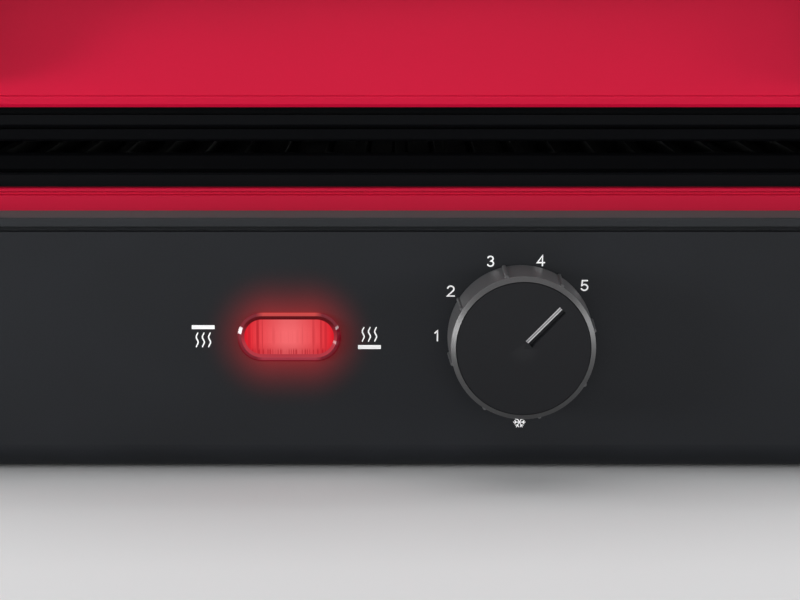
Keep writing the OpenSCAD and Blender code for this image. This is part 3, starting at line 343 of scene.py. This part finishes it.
# Painted shade along the lens's lower rim: the band where it lies and how deep it is
RIM_SHADE_BAND = (-0.45 * MM, -0.30 * MM)
RIM_SHADE_DEPTH = 0.9
# Glow of bevel and slope, lower side and upper side; the bevel's brighter upper side is a painted
# reflection, the slope's paler lower side a painted reflection and its dark upper side painted shade
BEVEL_GLOW_AND_REFLECTION = (rgb(0.30, 0.022, 0.040), rgb(0.52, 0.045, 0.040))
SLOPE_GLOW_AND_SHADE = (rgb(0.40, 0.035, 0.050), rgb(0.055, 0.001, 0.002))
ROUND_GLOW = rgb(0.13, 0.002, 0.010)
# Painted shade along the lower rim
RIM_PAINTED_SHADE = rgb(0.09, 0.0, 0.003)
# Slope and window, then bevel
LENS_SPECULAR = (0.12, 0.45)
LENS_BLOTCH = 2 * MM
LENS_TONES = (rgb(0.05, 0.001, 0.003), rgb(0.07, 0.002, 0.005))
# The window is pale in its middle and deep at its ends, with lines, ticks and shaded edges of this depth
WINDOW_GLOWS = (rgb(0.70, 0.004, 0.014), rgb(0.85, 0.135, 0.142))
WINDOW_SHADE = rgb(0.36, 0.002, 0.010)
WINDOW_FADE = (0.1 * lens_half.x, 0.85 * lens_half.x)
LINE_WIDTH = 1.1 * MM
LINE_NOISE = (0.40, 0.50)
LINE_FADE = (0.2 * lens_half.x, 0.6 * lens_half.x)
LINE_DEPTH = (0.10, 0.65)
TICK_WIDTH = 0.6 * MM
TICK_NOISE = (0.44, 0.54)
TICK_FADE = (-0.38 * lens_half.z, -0.55 * lens_half.z)
TICK_DEPTH = (0.0, 0.8)
LOW_FADE = (-0.2 * lens_half.z, -0.62 * lens_half.z)
LOW_DEPTH = (0.0, 0.42)
HIGH_FADE = (0.2 * lens_half.z, 0.6 * lens_half.z)
HIGH_DEPTH = (0.0, 0.15)


def lens_bevel(shader, aside, upper, rim_shade):
    """Glow of the bevel: brighter above with a painted reflection, deep red round the ends, and dark at
    its lower rim with painted shade.
    """
    glow = shader.blend(upper, *BEVEL_GLOW_AND_REFLECTION)
    glow = shader.blend(shader.ramp(aside, *LENS_ROUND), glow, ROUND_GLOW)
    return shader.blend(rim_shade, glow, RIM_PAINTED_SHADE)


def lens_window(shader, aside, up):
    """Glow of the window: palest in its middle, with upright lines, short ticks and shaded edges."""
    glow = shader.blend(shader.ramp(aside, *WINDOW_FADE, 1.0, 0.0), *WINDOW_GLOWS)
    across = shader.stretched(1.0, 0.0, 0.0)
    line = shader.ramp(shader.noise(LINE_WIDTH, RICH, across), *LINE_NOISE, 1.0, 0.0)
    line = shader.math("MULTIPLY", line, shader.ramp(aside, *LINE_FADE, *LINE_DEPTH))
    tick = shader.ramp(shader.noise(TICK_WIDTH, PLAIN, across), *TICK_NOISE, 1.0, 0.0)
    tick = shader.math("MULTIPLY", tick, shader.ramp(up, *TICK_FADE, *TICK_DEPTH))
    low = shader.ramp(up, *LOW_FADE, *LOW_DEPTH)
    high = shader.ramp(up, *HIGH_FADE, *HIGH_DEPTH)
    marks = shader.math("MAXIMUM", line, tick)
    shade = shader.math("MAXIMUM", marks, shader.math("MAXIMUM", low, high))
    return shader.blend(shade, glow, WINDOW_SHADE)


def lit_lens(name):
    """Red lens lit from behind: bright bevel with a painted reflection above, inner slope with painted
    shade above, and a ribbed window.
    """
    shader = Shader(name, Roughness=0.06, IOR=1.5, Specular_IOR_Level=0.2, Emission_Strength=1.0)
    along, up, out = from_lens(shader)
    aside = shader.math("ABSOLUTE", along)
    upper = shader.ramp(up, *LENS_UPPER)
    lower = shader.math("SUBTRACT", 1.0, upper)
    rim_shade = shader.math("MULTIPLY", shader.ramp(out, *RIM_SHADE_BAND, 0.0, RIM_SHADE_DEPTH), lower)
    bevel_end = shader.ramp(upper, 0.0, 1.0, -LENS_BEVEL, -LENS_BEVEL_ABOVE)
    slope_end = shader.ramp(upper, 0.0, 1.0, -LENS_SLOPE, -LENS_SLOPE_ABOVE)
    on_bevel = shader.ramp(shader.math("SUBTRACT", out, bevel_end), -LENS_BEVEL_SOFT, 0.0)
    on_window = shader.ramp(shader.math("SUBTRACT", out, slope_end), -LENS_SLOPE_SOFT, 0.0, 1.0, 0.0)
    slope_glow_and_shade = shader.blend(upper, *SLOPE_GLOW_AND_SHADE)
    edge_glow_and_painted_light = shader.blend(on_bevel, slope_glow_and_shade, lens_bevel(shader, aside, upper, rim_shade))
    shader.link(shader.blend(on_window, edge_glow_and_painted_light, lens_window(shader, aside, up)), "Emission Color")
    gloss = shader.math("MULTIPLY", on_bevel, shader.math("SUBTRACT", 1.0, rim_shade))
    shader.link(shader.ramp(gloss, 0.0, 1.0, *LENS_SPECULAR), "Specular IOR Level")
    shader.link(shader.blend(shader.noise(LENS_BLOTCH, RICH), *LENS_TONES), "Base Color")
    return shader.material


# Finishes of coat, steel, rubber, glass and paint

COAT_FACE = rgb(0.0060, 0.0063, 0.0070)
COAT_FLECK = rgb(0.009, 0.010, 0.012)
COAT_FLECK_APART = 1.6 * MM
COAT_FLECK_SHARE = 0.6
# Inner and outer edge of a fleck, as shares of the distance between flecks
COAT_FLECK_EDGE = (0.06, 0.14)
# On the skirt and on the cooking face
COAT_SPECULAR = (0.03, 0.16)
COAT_ROUGHNESS = (0.45, 0.60)
COAT_PITS = 0.45 * MM
COAT_PIT_DEPTH = 0.02 * MM
COAT_EDGE = 0.25 * MM
# The skirt passes into the cooking face between these distances in from the plate's outline
SKIRT_END = 5 * MM
FACE_START = 12 * MM


def nonstick_coat(name, plate, skirt_shade):
    """Sprayed non-stick coat with pits and paler flecks; the skirt is darker than the cooking face as
    painted shade of the gap between the frames.
    """
    low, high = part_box(plate)
    shader = Shader(name, Specular_IOR_Level=0.10)
    past_side = shader.beyond("X", low.x, high.x)
    past_front = shader.beyond("Y", low.y, high.y)
    face = shader.ramp(shader.math("MAXIMUM", past_side, past_front), -SKIRT_END, -FACE_START)
    cells = {"Vector": shader.place, "Scale": 1.0 / COAT_FLECK_APART}
    from_fleck = shader.add("ShaderNodeTexVoronoi", cells).outputs["Distance"]
    fleck = shader.ramp(from_fleck, *COAT_FLECK_EDGE, COAT_FLECK_SHARE, 0.0)
    ground = shader.blend(face, rgb(*skirt_shade), COAT_FACE)
    shader.link(shader.blend(fleck, ground, COAT_FLECK), "Base Color")
    shader.link(shader.ramp(face, 0.0, 1.0, *COAT_SPECULAR), "Specular IOR Level")
    pits = shader.noise(COAT_PITS, RICH)
    shader.link(shader.drift(pits, *COAT_ROUGHNESS), "Roughness")
    shader.bump(pits, COAT_PIT_DEPTH, COAT_EDGE)
    return shader.material


STEEL_LINES = 0.35 * MM
STEEL_LINE_DEPTH = 0.002 * MM
STEEL_LINE_SHARE = 0.7
STEEL_DRIFT = 25 * MM
STEEL_DARK = 0.9
STEEL_ROUGHNESS_SWING = 0.07
STEEL_EDGE = 0.15 * MM


def brushed_steel(name, colour, roughness, run):
    """Steel brushed along x, or plain rolled sheet where run is short."""
    shader = Shader(name, Metallic=1.0)
    lines = shader.noise(STEEL_LINES, RICH, shader.stretched(1.0 / run, 1.0, 1.0))
    dark = scaled(colour, STEEL_DARK)
    shader.link(shader.blend(shader.contrast(lines), dark, rgb(*colour)), "Base Color")
    grain = shader.weigh(lines, STEEL_LINE_SHARE, shader.noise(STEEL_DRIFT))
    least = roughness - STEEL_ROUGHNESS_SWING
    most = roughness + STEEL_ROUGHNESS_SWING
    shader.link(shader.drift(grain, least, most), "Roughness")
    shader.bump(lines, STEEL_LINE_DEPTH, STEEL_EDGE)
    return shader.material


RUBBER_TONES = (rgb(0.008, 0.008, 0.008), rgb(0.018, 0.018, 0.018))
RUBBER_ROUGHNESS = (0.75, 0.9)
RUBBER_DRIFT = 8 * MM
RUBBER_GRAIN = 0.3 * MM
RUBBER_GRAIN_DEPTH = 0.02 * MM
RUBBER_EDGE = 0.2 * MM


def rubber(name):
    """Matte black rubber with a fine grain."""
    shader = Shader(name, Specular_IOR_Level=0.3)
    slow = shader.noise(RUBBER_DRIFT)
    shader.link(shader.blend(slow, *RUBBER_TONES), "Base Color")
    shader.link(shader.drift(slow, *RUBBER_ROUGHNESS), "Roughness")
    shader.bump(shader.noise(RUBBER_GRAIN), RUBBER_GRAIN_DEPTH, RUBBER_EDGE)
    return shader.material


PAINT_GRAIN = 0.3 * MM
PRINT_PAINTED_GLOW = 0.2
PAINT_WHITE = rgb(1.0, 1.0, 1.0)
PAINT_TONES = (rgb(0.93, 0.93, 0.93), rgb(0.98, 0.98, 0.98))
PAINT_ROUGHNESS = (0.5, 0.65)


def printed_white(name):
    """White print with a faint painted glow, a little brighter than the light on it so that thin strokes
    stay clear.
    """
    light = {"Emission_Color": PAINT_WHITE, "Emission_Strength": PRINT_PAINTED_GLOW}
    shader = Shader(name, Specular_IOR_Level=0.2, **light)
    fine = shader.noise(PAINT_GRAIN)
    shader.link(shader.blend(fine, *PAINT_TONES), "Base Color")
    shader.link(shader.drift(fine, *PAINT_ROUGHNESS), "Roughness")
    return shader.material


GLASS_TONES = (rgb(0.9, 0.35, 0.15), rgb(1.0, 0.55, 0.3))
GLASS_DRIFT = 4 * MM


def lamp_glass(name):
    """Orange glass of the small lamp behind the lens."""
    shader = Shader(name, Transmission_Weight=0.6, Roughness=0.1)
    shader.link(shader.blend(shader.noise(GLASS_DRIFT), *GLASS_TONES), "Base Color")
    return shader.material


# Each node's finish: by its own name, or else by its material slot in the record

SLATE = (0.0112, 0.0126, 0.0153)
# Paler than the slate as painted light, so that the deck's upward ledge reads as lit
DECK_PAINTED_LIGHT_GREY = (0.0160, 0.0180, 0.0208)
BLACK = (0.0018, 0.0022, 0.0029)
CREAM = (0.70, 0.66, 0.56)
GRAIN = 0.5 * MM
BLACK_GRAIN = 0.6 * MM
GRAIN_DEPTH = 0.012 * MM
CREAM_DEPTH = 0.010 * MM
# Skirt colours are painted shade of the gap between the frames, the lower skirt darkest as it is
# recessed further
LOWER_SKIRT_PAINTED_SHADE = (0.0007, 0.0008, 0.0012)
UPPER_SKIRT_PAINTED_SHADE = (0.0019, 0.0021, 0.0027)
# The lower trim's red is deepened as painted shade under the overhanging lid
TRIM_PAINTED_SHADE_SHARE = 0.84

zinc = brushed_steel("zinc_steel", (0.52, 0.53, 0.55), roughness=0.32, run=2.0)
white = printed_white("printed_white")
FINISHES = {
    "slate_plastic": grained_plastic(
        "slate_plastic", SLATE, roughness=0.55, grain=GRAIN, depth=GRAIN_DEPTH,
        Specular_IOR_Level=0.2),
    "black_plastic": grained_plastic(
        "black_plastic", BLACK, roughness=0.55, grain=BLACK_GRAIN, depth=GRAIN_DEPTH,
        Specular_IOR_Level=0.06),
    "cream_plastic": grained_plastic(
        "cream_plastic", CREAM, roughness=0.5, grain=GRAIN, depth=CREAM_DEPTH),
    "red_plastic": red_plastic("red_plastic"),
    "brushed_grip": brushed_steel("grip_steel", (0.58, 0.58, 0.59), roughness=0.40, run=40.0),
    "sheet_steel": brushed_steel("sheet_steel", (0.60, 0.61, 0.62), roughness=0.36, run=12.0),
    "element_steel": brushed_steel("element_steel", (0.22, 0.20, 0.18), roughness=0.5, run=4.0),
    "screw_steel": zinc,
    "spring_steel": zinc,
    "silver_inlay": pointer_silver("silver_inlay"),
    "rubber": rubber("soft_rubber"),
    "red_lens": lit_lens("lit_lens"),
    "lamp_glass": lamp_glass("lamp_glass"),
}
NODE_FINISHES = {
    # The panel's plastic carries the painted halo of the lit lens
    "base_housing": grained_plastic(
        "panel_plastic", SLATE, roughness=0.55, grain=GRAIN, depth=GRAIN_DEPTH,
        glow=True, Specular_IOR_Level=0.2),
    "base_deck": grained_plastic(
        "deck_plastic", DECK_PAINTED_LIGHT_GREY, roughness=0.68, grain=GRAIN, depth=GRAIN_DEPTH,
        Specular_IOR_Level=0.25, Sheen_Weight=0.10, Sheen_Roughness=0.5),
    "knob": knob_plastic("knob_plastic"),
    "lower_trim": red_plastic("trim_red_painted_shade", TRIM_PAINTED_SHADE_SHARE),
    "lower_grill_plate": nonstick_coat("lower_coat", "lower_grill_plate", LOWER_SKIRT_PAINTED_SHADE),
    "upper_grill_plate": nonstick_coat("upper_coat", "upper_grill_plate", UPPER_SKIRT_PAINTED_SHADE),
}
for part in frame["record"]["subparts"]:
    piece = nodes[part["node"]]
    piece.data.materials.clear()
    piece.data.materials.append(NODE_FINISHES.get(part["node"]) or FINISHES[part["material_slot"]])


# Each release spring is copied onto the body that carries it, and its CAD coil is hidden

SPRINGS = {"lower_release": "base", "upper_release": "lid"}
for release, body in SPRINGS.items():
    spring = release + "_spring"
    coil = bpy.data.objects.new(release + "_coil", nodes[spring].data.copy())
    bpy.context.scene.collection.objects.link(coil)
    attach(coil, body)
    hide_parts(spring)
    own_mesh(coil)


# Print on the control panel: flat strokes of paint a hair above the plastic

PAINT = 0.03 * MM
CAP_STEPS = 8
ARC_STEPS = 18
# A stroke's outer corner reaches no further than half its width over this
SHARPEST_CORNER = 0.5


def arc(x, z, r, start, end):
    """Points along an arc, angles in degrees."""
    turns = [math.radians(start + (end - start) * i / ARC_STEPS) for i in range(ARC_STEPS + 1)]
    return [(x + r * math.cos(a), z + r * math.sin(a)) for a in turns]


def round_cap(point, along, r):
    """Points round the end of a stroke, from its right side to its left."""
    right = math.atan2(along.y, along.x) - math.pi / 2
    angles = [right + math.pi * k / CAP_STEPS for k in range(1, CAP_STEPS)]
    return [point + r * Vector((math.cos(a), math.sin(a))) for a in angles]


def ribbon(bm, points, width, square=False, taper=1.0):
    """A flat stroke drawn in x and z, with round or square ends; taper is how thin its ends get."""

    def vert(point):
        return bm.verts.new((point.x, 0.0, point.y))

    line = [Vector(p) for p in points]
    last = len(line) - 1
    half = [width / 2 * (taper + (1 - taper) * math.sin(math.pi * i / last)) for i in range(last + 1)]
    lefts = []
    rights = []
    for i, p in enumerate(line):
        before = (p - line[i - 1]).normalized() if i else (line[1] - p).normalized()
        after = (line[i + 1] - p).normalized() if i < last else before
        along = (before + after).normalized()
        side = Vector((-along.y, along.x)) * half[i] / max(along.dot(before), SHARPEST_CORNER)
        lefts.append(vert(p + side))
        rights.append(vert(p - side))
    for i in range(last):
        bm.faces.new((rights[i], rights[i + 1], lefts[i + 1], lefts[i]))
    if not square:
        head = round_cap(line[-1], line[-1] - line[-2], half[-1])
        tail = round_cap(line[0], line[0] - line[1], half[0])
        bm.faces.new([rights[-1], *[vert(p) for p in head], lefts[-1]])
        bm.faces.new([lefts[0], *[vert(p) for p in tail], rights[0]])


def printed(name, strokes, width, x, z, **ends):
    """A printed sign: strokes about its own middle, placed on the panel."""
    bm = bmesh.new()
    for points in strokes:
        ribbon(bm, points, width, **ends)
    bm.normal_update()
    mesh = bpy.data.meshes.new(name)
    bm.to_mesh(mesh)
    bm.free()
    sign = bpy.data.objects.new(name, mesh)
    sign.location = (x, panel_y - PAINT, z)
    bpy.context.scene.collection.objects.link(sign)
    mesh.materials.append(white)
    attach(sign, "base")


# Strokes of each figure, one unit high
DIGITS = {
    "1": [[(-0.16, 0.28), (0.06, 0.5), (0.06, -0.5)]],
    "2": [arc(0.0, 0.21, 0.28, 165, -38) + [(-0.29, -0.5), (0.31, -0.5)]],
    "3": [arc(-0.01, 0.255, 0.235, 155, -80) + arc(-0.01, -0.235, 0.265, 80, -155)],
    "4": [[(0.14, -0.5), (0.14, 0.5), (-0.31, -0.2), (0.32, -0.2)]],
    "5": [[(0.25, 0.5), (-0.19, 0.5), (-0.24, 0.02)] + arc(-0.01, -0.18, 0.295, 140, -150)],
}
DIGIT_H = 2.75 * MM
DIGIT_W = 1.12 * DIGIT_H
DIGIT_STROKE = 0.43 * MM
# Middle of each figure in millimetres to the right of the knob's axis and above it
DIAL_PLACES = {
    "1": (-22.9, 0.25),
    "2": (-19.1, 12.7),
    "3": (-8.25, 20.95),
    "4": (5.5, 21.1),
    "5": (17.5, 14.2),
}
for digit, (right, above) in DIAL_PLACES.items():
    strokes = [[(px * DIGIT_W, pz * DIGIT_H) for px, pz in points] for points in DIGITS[digit]]
    printed("dial_" + digit, strokes, DIGIT_STROKE, knob_mid.x + right * MM, knob_mid.z + above * MM)


SNOW_R = 1.6 * MM
SNOW_ARMS = 6
SNOW_STROKE = 0.25 * MM
SNOW_BELOW = 24.0 * MM
# Where on an arm its barbs begin and how long they are, as shares of the arm, and how far they lean
BARB_AT = 0.55
BARB_LENGTH = 0.38
BARB_LEAN = math.radians(50)


def toward(angle):
    return Vector((math.cos(angle), math.sin(angle)))


def snowflake(r):
    """Arms from one middle, each with a pair of barbs."""
    strokes = []
    for k in range(SNOW_ARMS):
        turn = 2 * math.pi * k / SNOW_ARMS
        tip = toward(turn)
        strokes.append([(0.0, 0.0), tuple(tip * r)])
        for lean in (-BARB_LEAN, BARB_LEAN):
            foot = tip * r * BARB_AT
            strokes.append([tuple(foot), tuple(foot + toward(turn + lean) * r * BARB_LENGTH)])
    return strokes


printed("dial_off_mark", snowflake(SNOW_R), SNOW_STROKE, knob_mid.x, knob_mid.z - SNOW_BELOW)


WAVE_H = 3.85 * MM
WAVE_TURNS = 1.35
WAVE_MIDDLE = 0.48
WAVE_PITCH = 1.7 * MM
WAVE_SWING = 0.25 * MM
WAVE_STROKE = 0.42 * MM
WAVE_TAPER = 0.8
WAVE_STEPS = 24
BAR_HALF = 3.14 * MM
BAR_STROKE = 1.10 * MM
BAR = [[(-BAR_HALF, 0.0), (BAR_HALF, 0.0)]]


def heat_waves():
    """Three rising wavy lines that lean to the right at the top."""
    shares = [i / WAVE_STEPS for i in range(WAVE_STEPS + 1)]
    turn = 2 * math.pi * WAVE_TURNS
    shape = [(WAVE_SWING * math.sin(turn * (t - WAVE_MIDDLE)), WAVE_H * (0.5 - t)) for t in shares]
    return [[(k * WAVE_PITCH + px, pz) for px, pz in shape] for k in (-1, 0, 1)]


# Middle of each heat sign across the panel, and heights of its waves and bar, in millimetres
HEAT_SIGNS = {"top_heat": (-54.05, 37.3, 40.85), "bottom_heat": (-8.4, 38.85, 35.3)}
for sign_name, (across, waves_z, bar_z) in HEAT_SIGNS.items():
    printed(sign_name + "_waves", heat_waves(), WAVE_STROKE, across * MM, waves_z * MM, taper=WAVE_TAPER)
    printed(sign_name + "_bar", BAR, BAR_STROKE, across * MM, bar_z * MM, square=True)


# Floor, light and camera

PALE = rgb(0.74, 0.745, 0.75)
FLOOR_HALF = 12.0
FLOOR_DRIFT = 0.15
FLOOR_TONES = (rgb(0.76, 0.765, 0.77), rgb(0.79, 0.795, 0.80))
# The floor passes into the pale background between these distances from the origin
NEAR_FLOOR = 0.8
FAR_FLOOR = 2.2
# The shadow has its full depth up to the first distance from the base, and beyond the second it is
# thinned by painted light of the pale background
SHADE_FULL = 10 * MM
SHADE_THIN = 42 * MM
SHADOW_PAINTED_LIGHT_SHARE = 0.26


def looking(tree):
    """1 for rays that see the surroundings, also in metal and glass, and 0 for those that give light."""
    path = tree.nodes.new("ShaderNodeLightPath")
    seen = path.outputs["Is Camera Ray"]
    for kind in ("Is Glossy Ray", "Is Transmission Ray"):
        either = tree.nodes.new("ShaderNodeMath")
        either.operation = "MAXIMUM"
        tree.links.new(seen, either.inputs[0])
        tree.links.new(path.outputs[kind], either.inputs[1])
        seen = either.outputs[0]
    return seen


def mixed(tree, factor, first, second, output):
    """Send a mix of two shaders to the output node."""
    mix = tree.nodes.new("ShaderNodeMixShader")
    for socket, value in zip(mix.inputs, (factor, first, second)):
        tree.links.new(value, socket)
    tree.links.new(mix.outputs[0], tree.nodes[output].inputs["Surface"])


def pale_floor():
    """Painted floor that passes into the plain pale background away from the grill, and whose shadow
    near the grill is thinned by painted light.
    """
    corners = [(-1, -1), (1, -1), (1, 1), (-1, 1)]
    mesh = bpy.data.meshes.new("floor")
    mesh.from_pydata([(x * FLOOR_HALF, y * FLOOR_HALF, 0.0) for x, y in corners], [], [(0, 1, 2, 3)])
    floor = bpy.data.objects.new("floor", mesh)
    bpy.context.scene.collection.objects.link(floor)
    shader = Shader("floor_paint", Roughness=0.9, Specular_IOR_Level=0.2)
    shader.link(shader.blend(shader.noise(FLOOR_DRIFT), *FLOOR_TONES), "Base Color")
    away = shader.add("ShaderNodeVectorMath", {0: shader.place}, operation="LENGTH").outputs["Value"]
    far = shader.ramp(away, NEAR_FLOOR, FAR_FLOOR)
    aside = shader.math("MAXIMUM", shader.beyond("X", housing_low.x, housing_high.x), 0.0)
    ahead = shader.math("MAXIMUM", shader.beyond("Y", housing_low.y, housing_high.y), 0.0)
    # Painted light: a share of the pale background thins the shadow beyond the base
    near_painted_light = shader.ramp(shader.length(aside, ahead), SHADE_FULL, SHADE_THIN, 0.0, SHADOW_PAINTED_LIGHT_SHARE)
    plain = shader.add("ShaderNodeEmission", {"Color": PALE}).outputs[0]
    seen = shader.math("MULTIPLY", shader.math("MAXIMUM", near_painted_light, far), looking(shader.tree))
    mixed(shader.tree, seen, shader.surface.outputs[0], plain, "Material Output")
    mesh.materials.append(shader.material)


# Place, width and height in metres, power in watts and spread in degrees; a small spread is a grid's
SOFTBOXES = {
    "top_box": ((0.0, 0.6, 2.3), 4.0, 1.6, 53.0, 180.0),
    "front_box": ((0.0, -2.4, 0.5), 1.4, 0.7, 8.0, 180.0),
    "left_box": ((-1.25, -0.52, 0.19), 0.45, 0.36, 0.65, 36.0),
    "right_box": ((1.25, -0.48, 0.25), 0.60, 0.46, 0.50, 36.0),
    "rear_box": ((0.3, 1.6, 1.2), 1.2, 0.8, 8.0, 180.0),
}
LIT_POINT = Vector((0.0, 0.0, 0.08))
SKY_COLOUR = rgb(0.92, 0.93, 0.95)
SKY_STRENGTH = 0.24


def softbox(name, place, width, height, power, spread):
    """A rectangular light turned to the middle of the grill."""
    light = bpy.data.lights.new(name, "AREA")
    light.shape = "RECTANGLE"
    light.size = width
    light.size_y = height
    light.energy = power
    light.spread = math.radians(spread)
    lamp = bpy.data.objects.new(name, light)
    lamp.location = place
    lamp.rotation_mode = "QUATERNION"
    lamp.rotation_quaternion = (LIT_POINT - Vector(place)).to_track_quat("-Z", "Y")
    bpy.context.scene.collection.objects.link(lamp)


def studio():
    """A dim sky that looks pale, and the soft boxes."""
    world = bpy.data.worlds.new("studio")
    bpy.context.scene.world = world
    world.use_nodes = True
    tree = world.node_tree
    sky = tree.nodes["Background"]
    sky.inputs["Color"].default_value = SKY_COLOUR
    sky.inputs["Strength"].default_value = SKY_STRENGTH
    plain = tree.nodes.new("ShaderNodeBackground")
    plain.inputs["Color"].default_value = PALE
    mixed(tree, looking(tree), sky.outputs[0], plain.outputs[0], "World Output")
    for name, settings in SOFTBOXES.items():
        softbox(name, *settings)


CAMERA_DISTANCE = 620 * MM
CAMERA_ELEVATION = math.radians(9.3)
CAMERA_LENS = 101.8
CAMERA_SENSOR = 36.0
CAMERA_CLIP = 0.01
# Height above the housing's foot that is in the middle of the picture
CAMERA_AIM = 47.6 * MM


def photo_camera():
    """Seen from straight in front, a little above; the middle of the picture is on the panel."""
    target = Vector((0.0, panel_y, housing_low.z + CAMERA_AIM))
    back = Vector((0.0, -math.cos(CAMERA_ELEVATION), math.sin(CAMERA_ELEVATION)))
    data = bpy.data.cameras.new("camera")
    data.sensor_width = CAMERA_SENSOR
    data.lens = CAMERA_LENS
    data.clip_start = CAMERA_CLIP
    camera = bpy.data.objects.new("camera", data)
    camera.location = target + CAMERA_DISTANCE * back
    camera.rotation_euler = (math.pi / 2 - CAMERA_ELEVATION, 0.0, 0.0)
    bpy.context.scene.collection.objects.link(camera)
    bpy.context.scene.camera = camera


pale_floor()
studio()
photo_camera()
bpy.context.scene.view_settings.view_transform = "Standard"
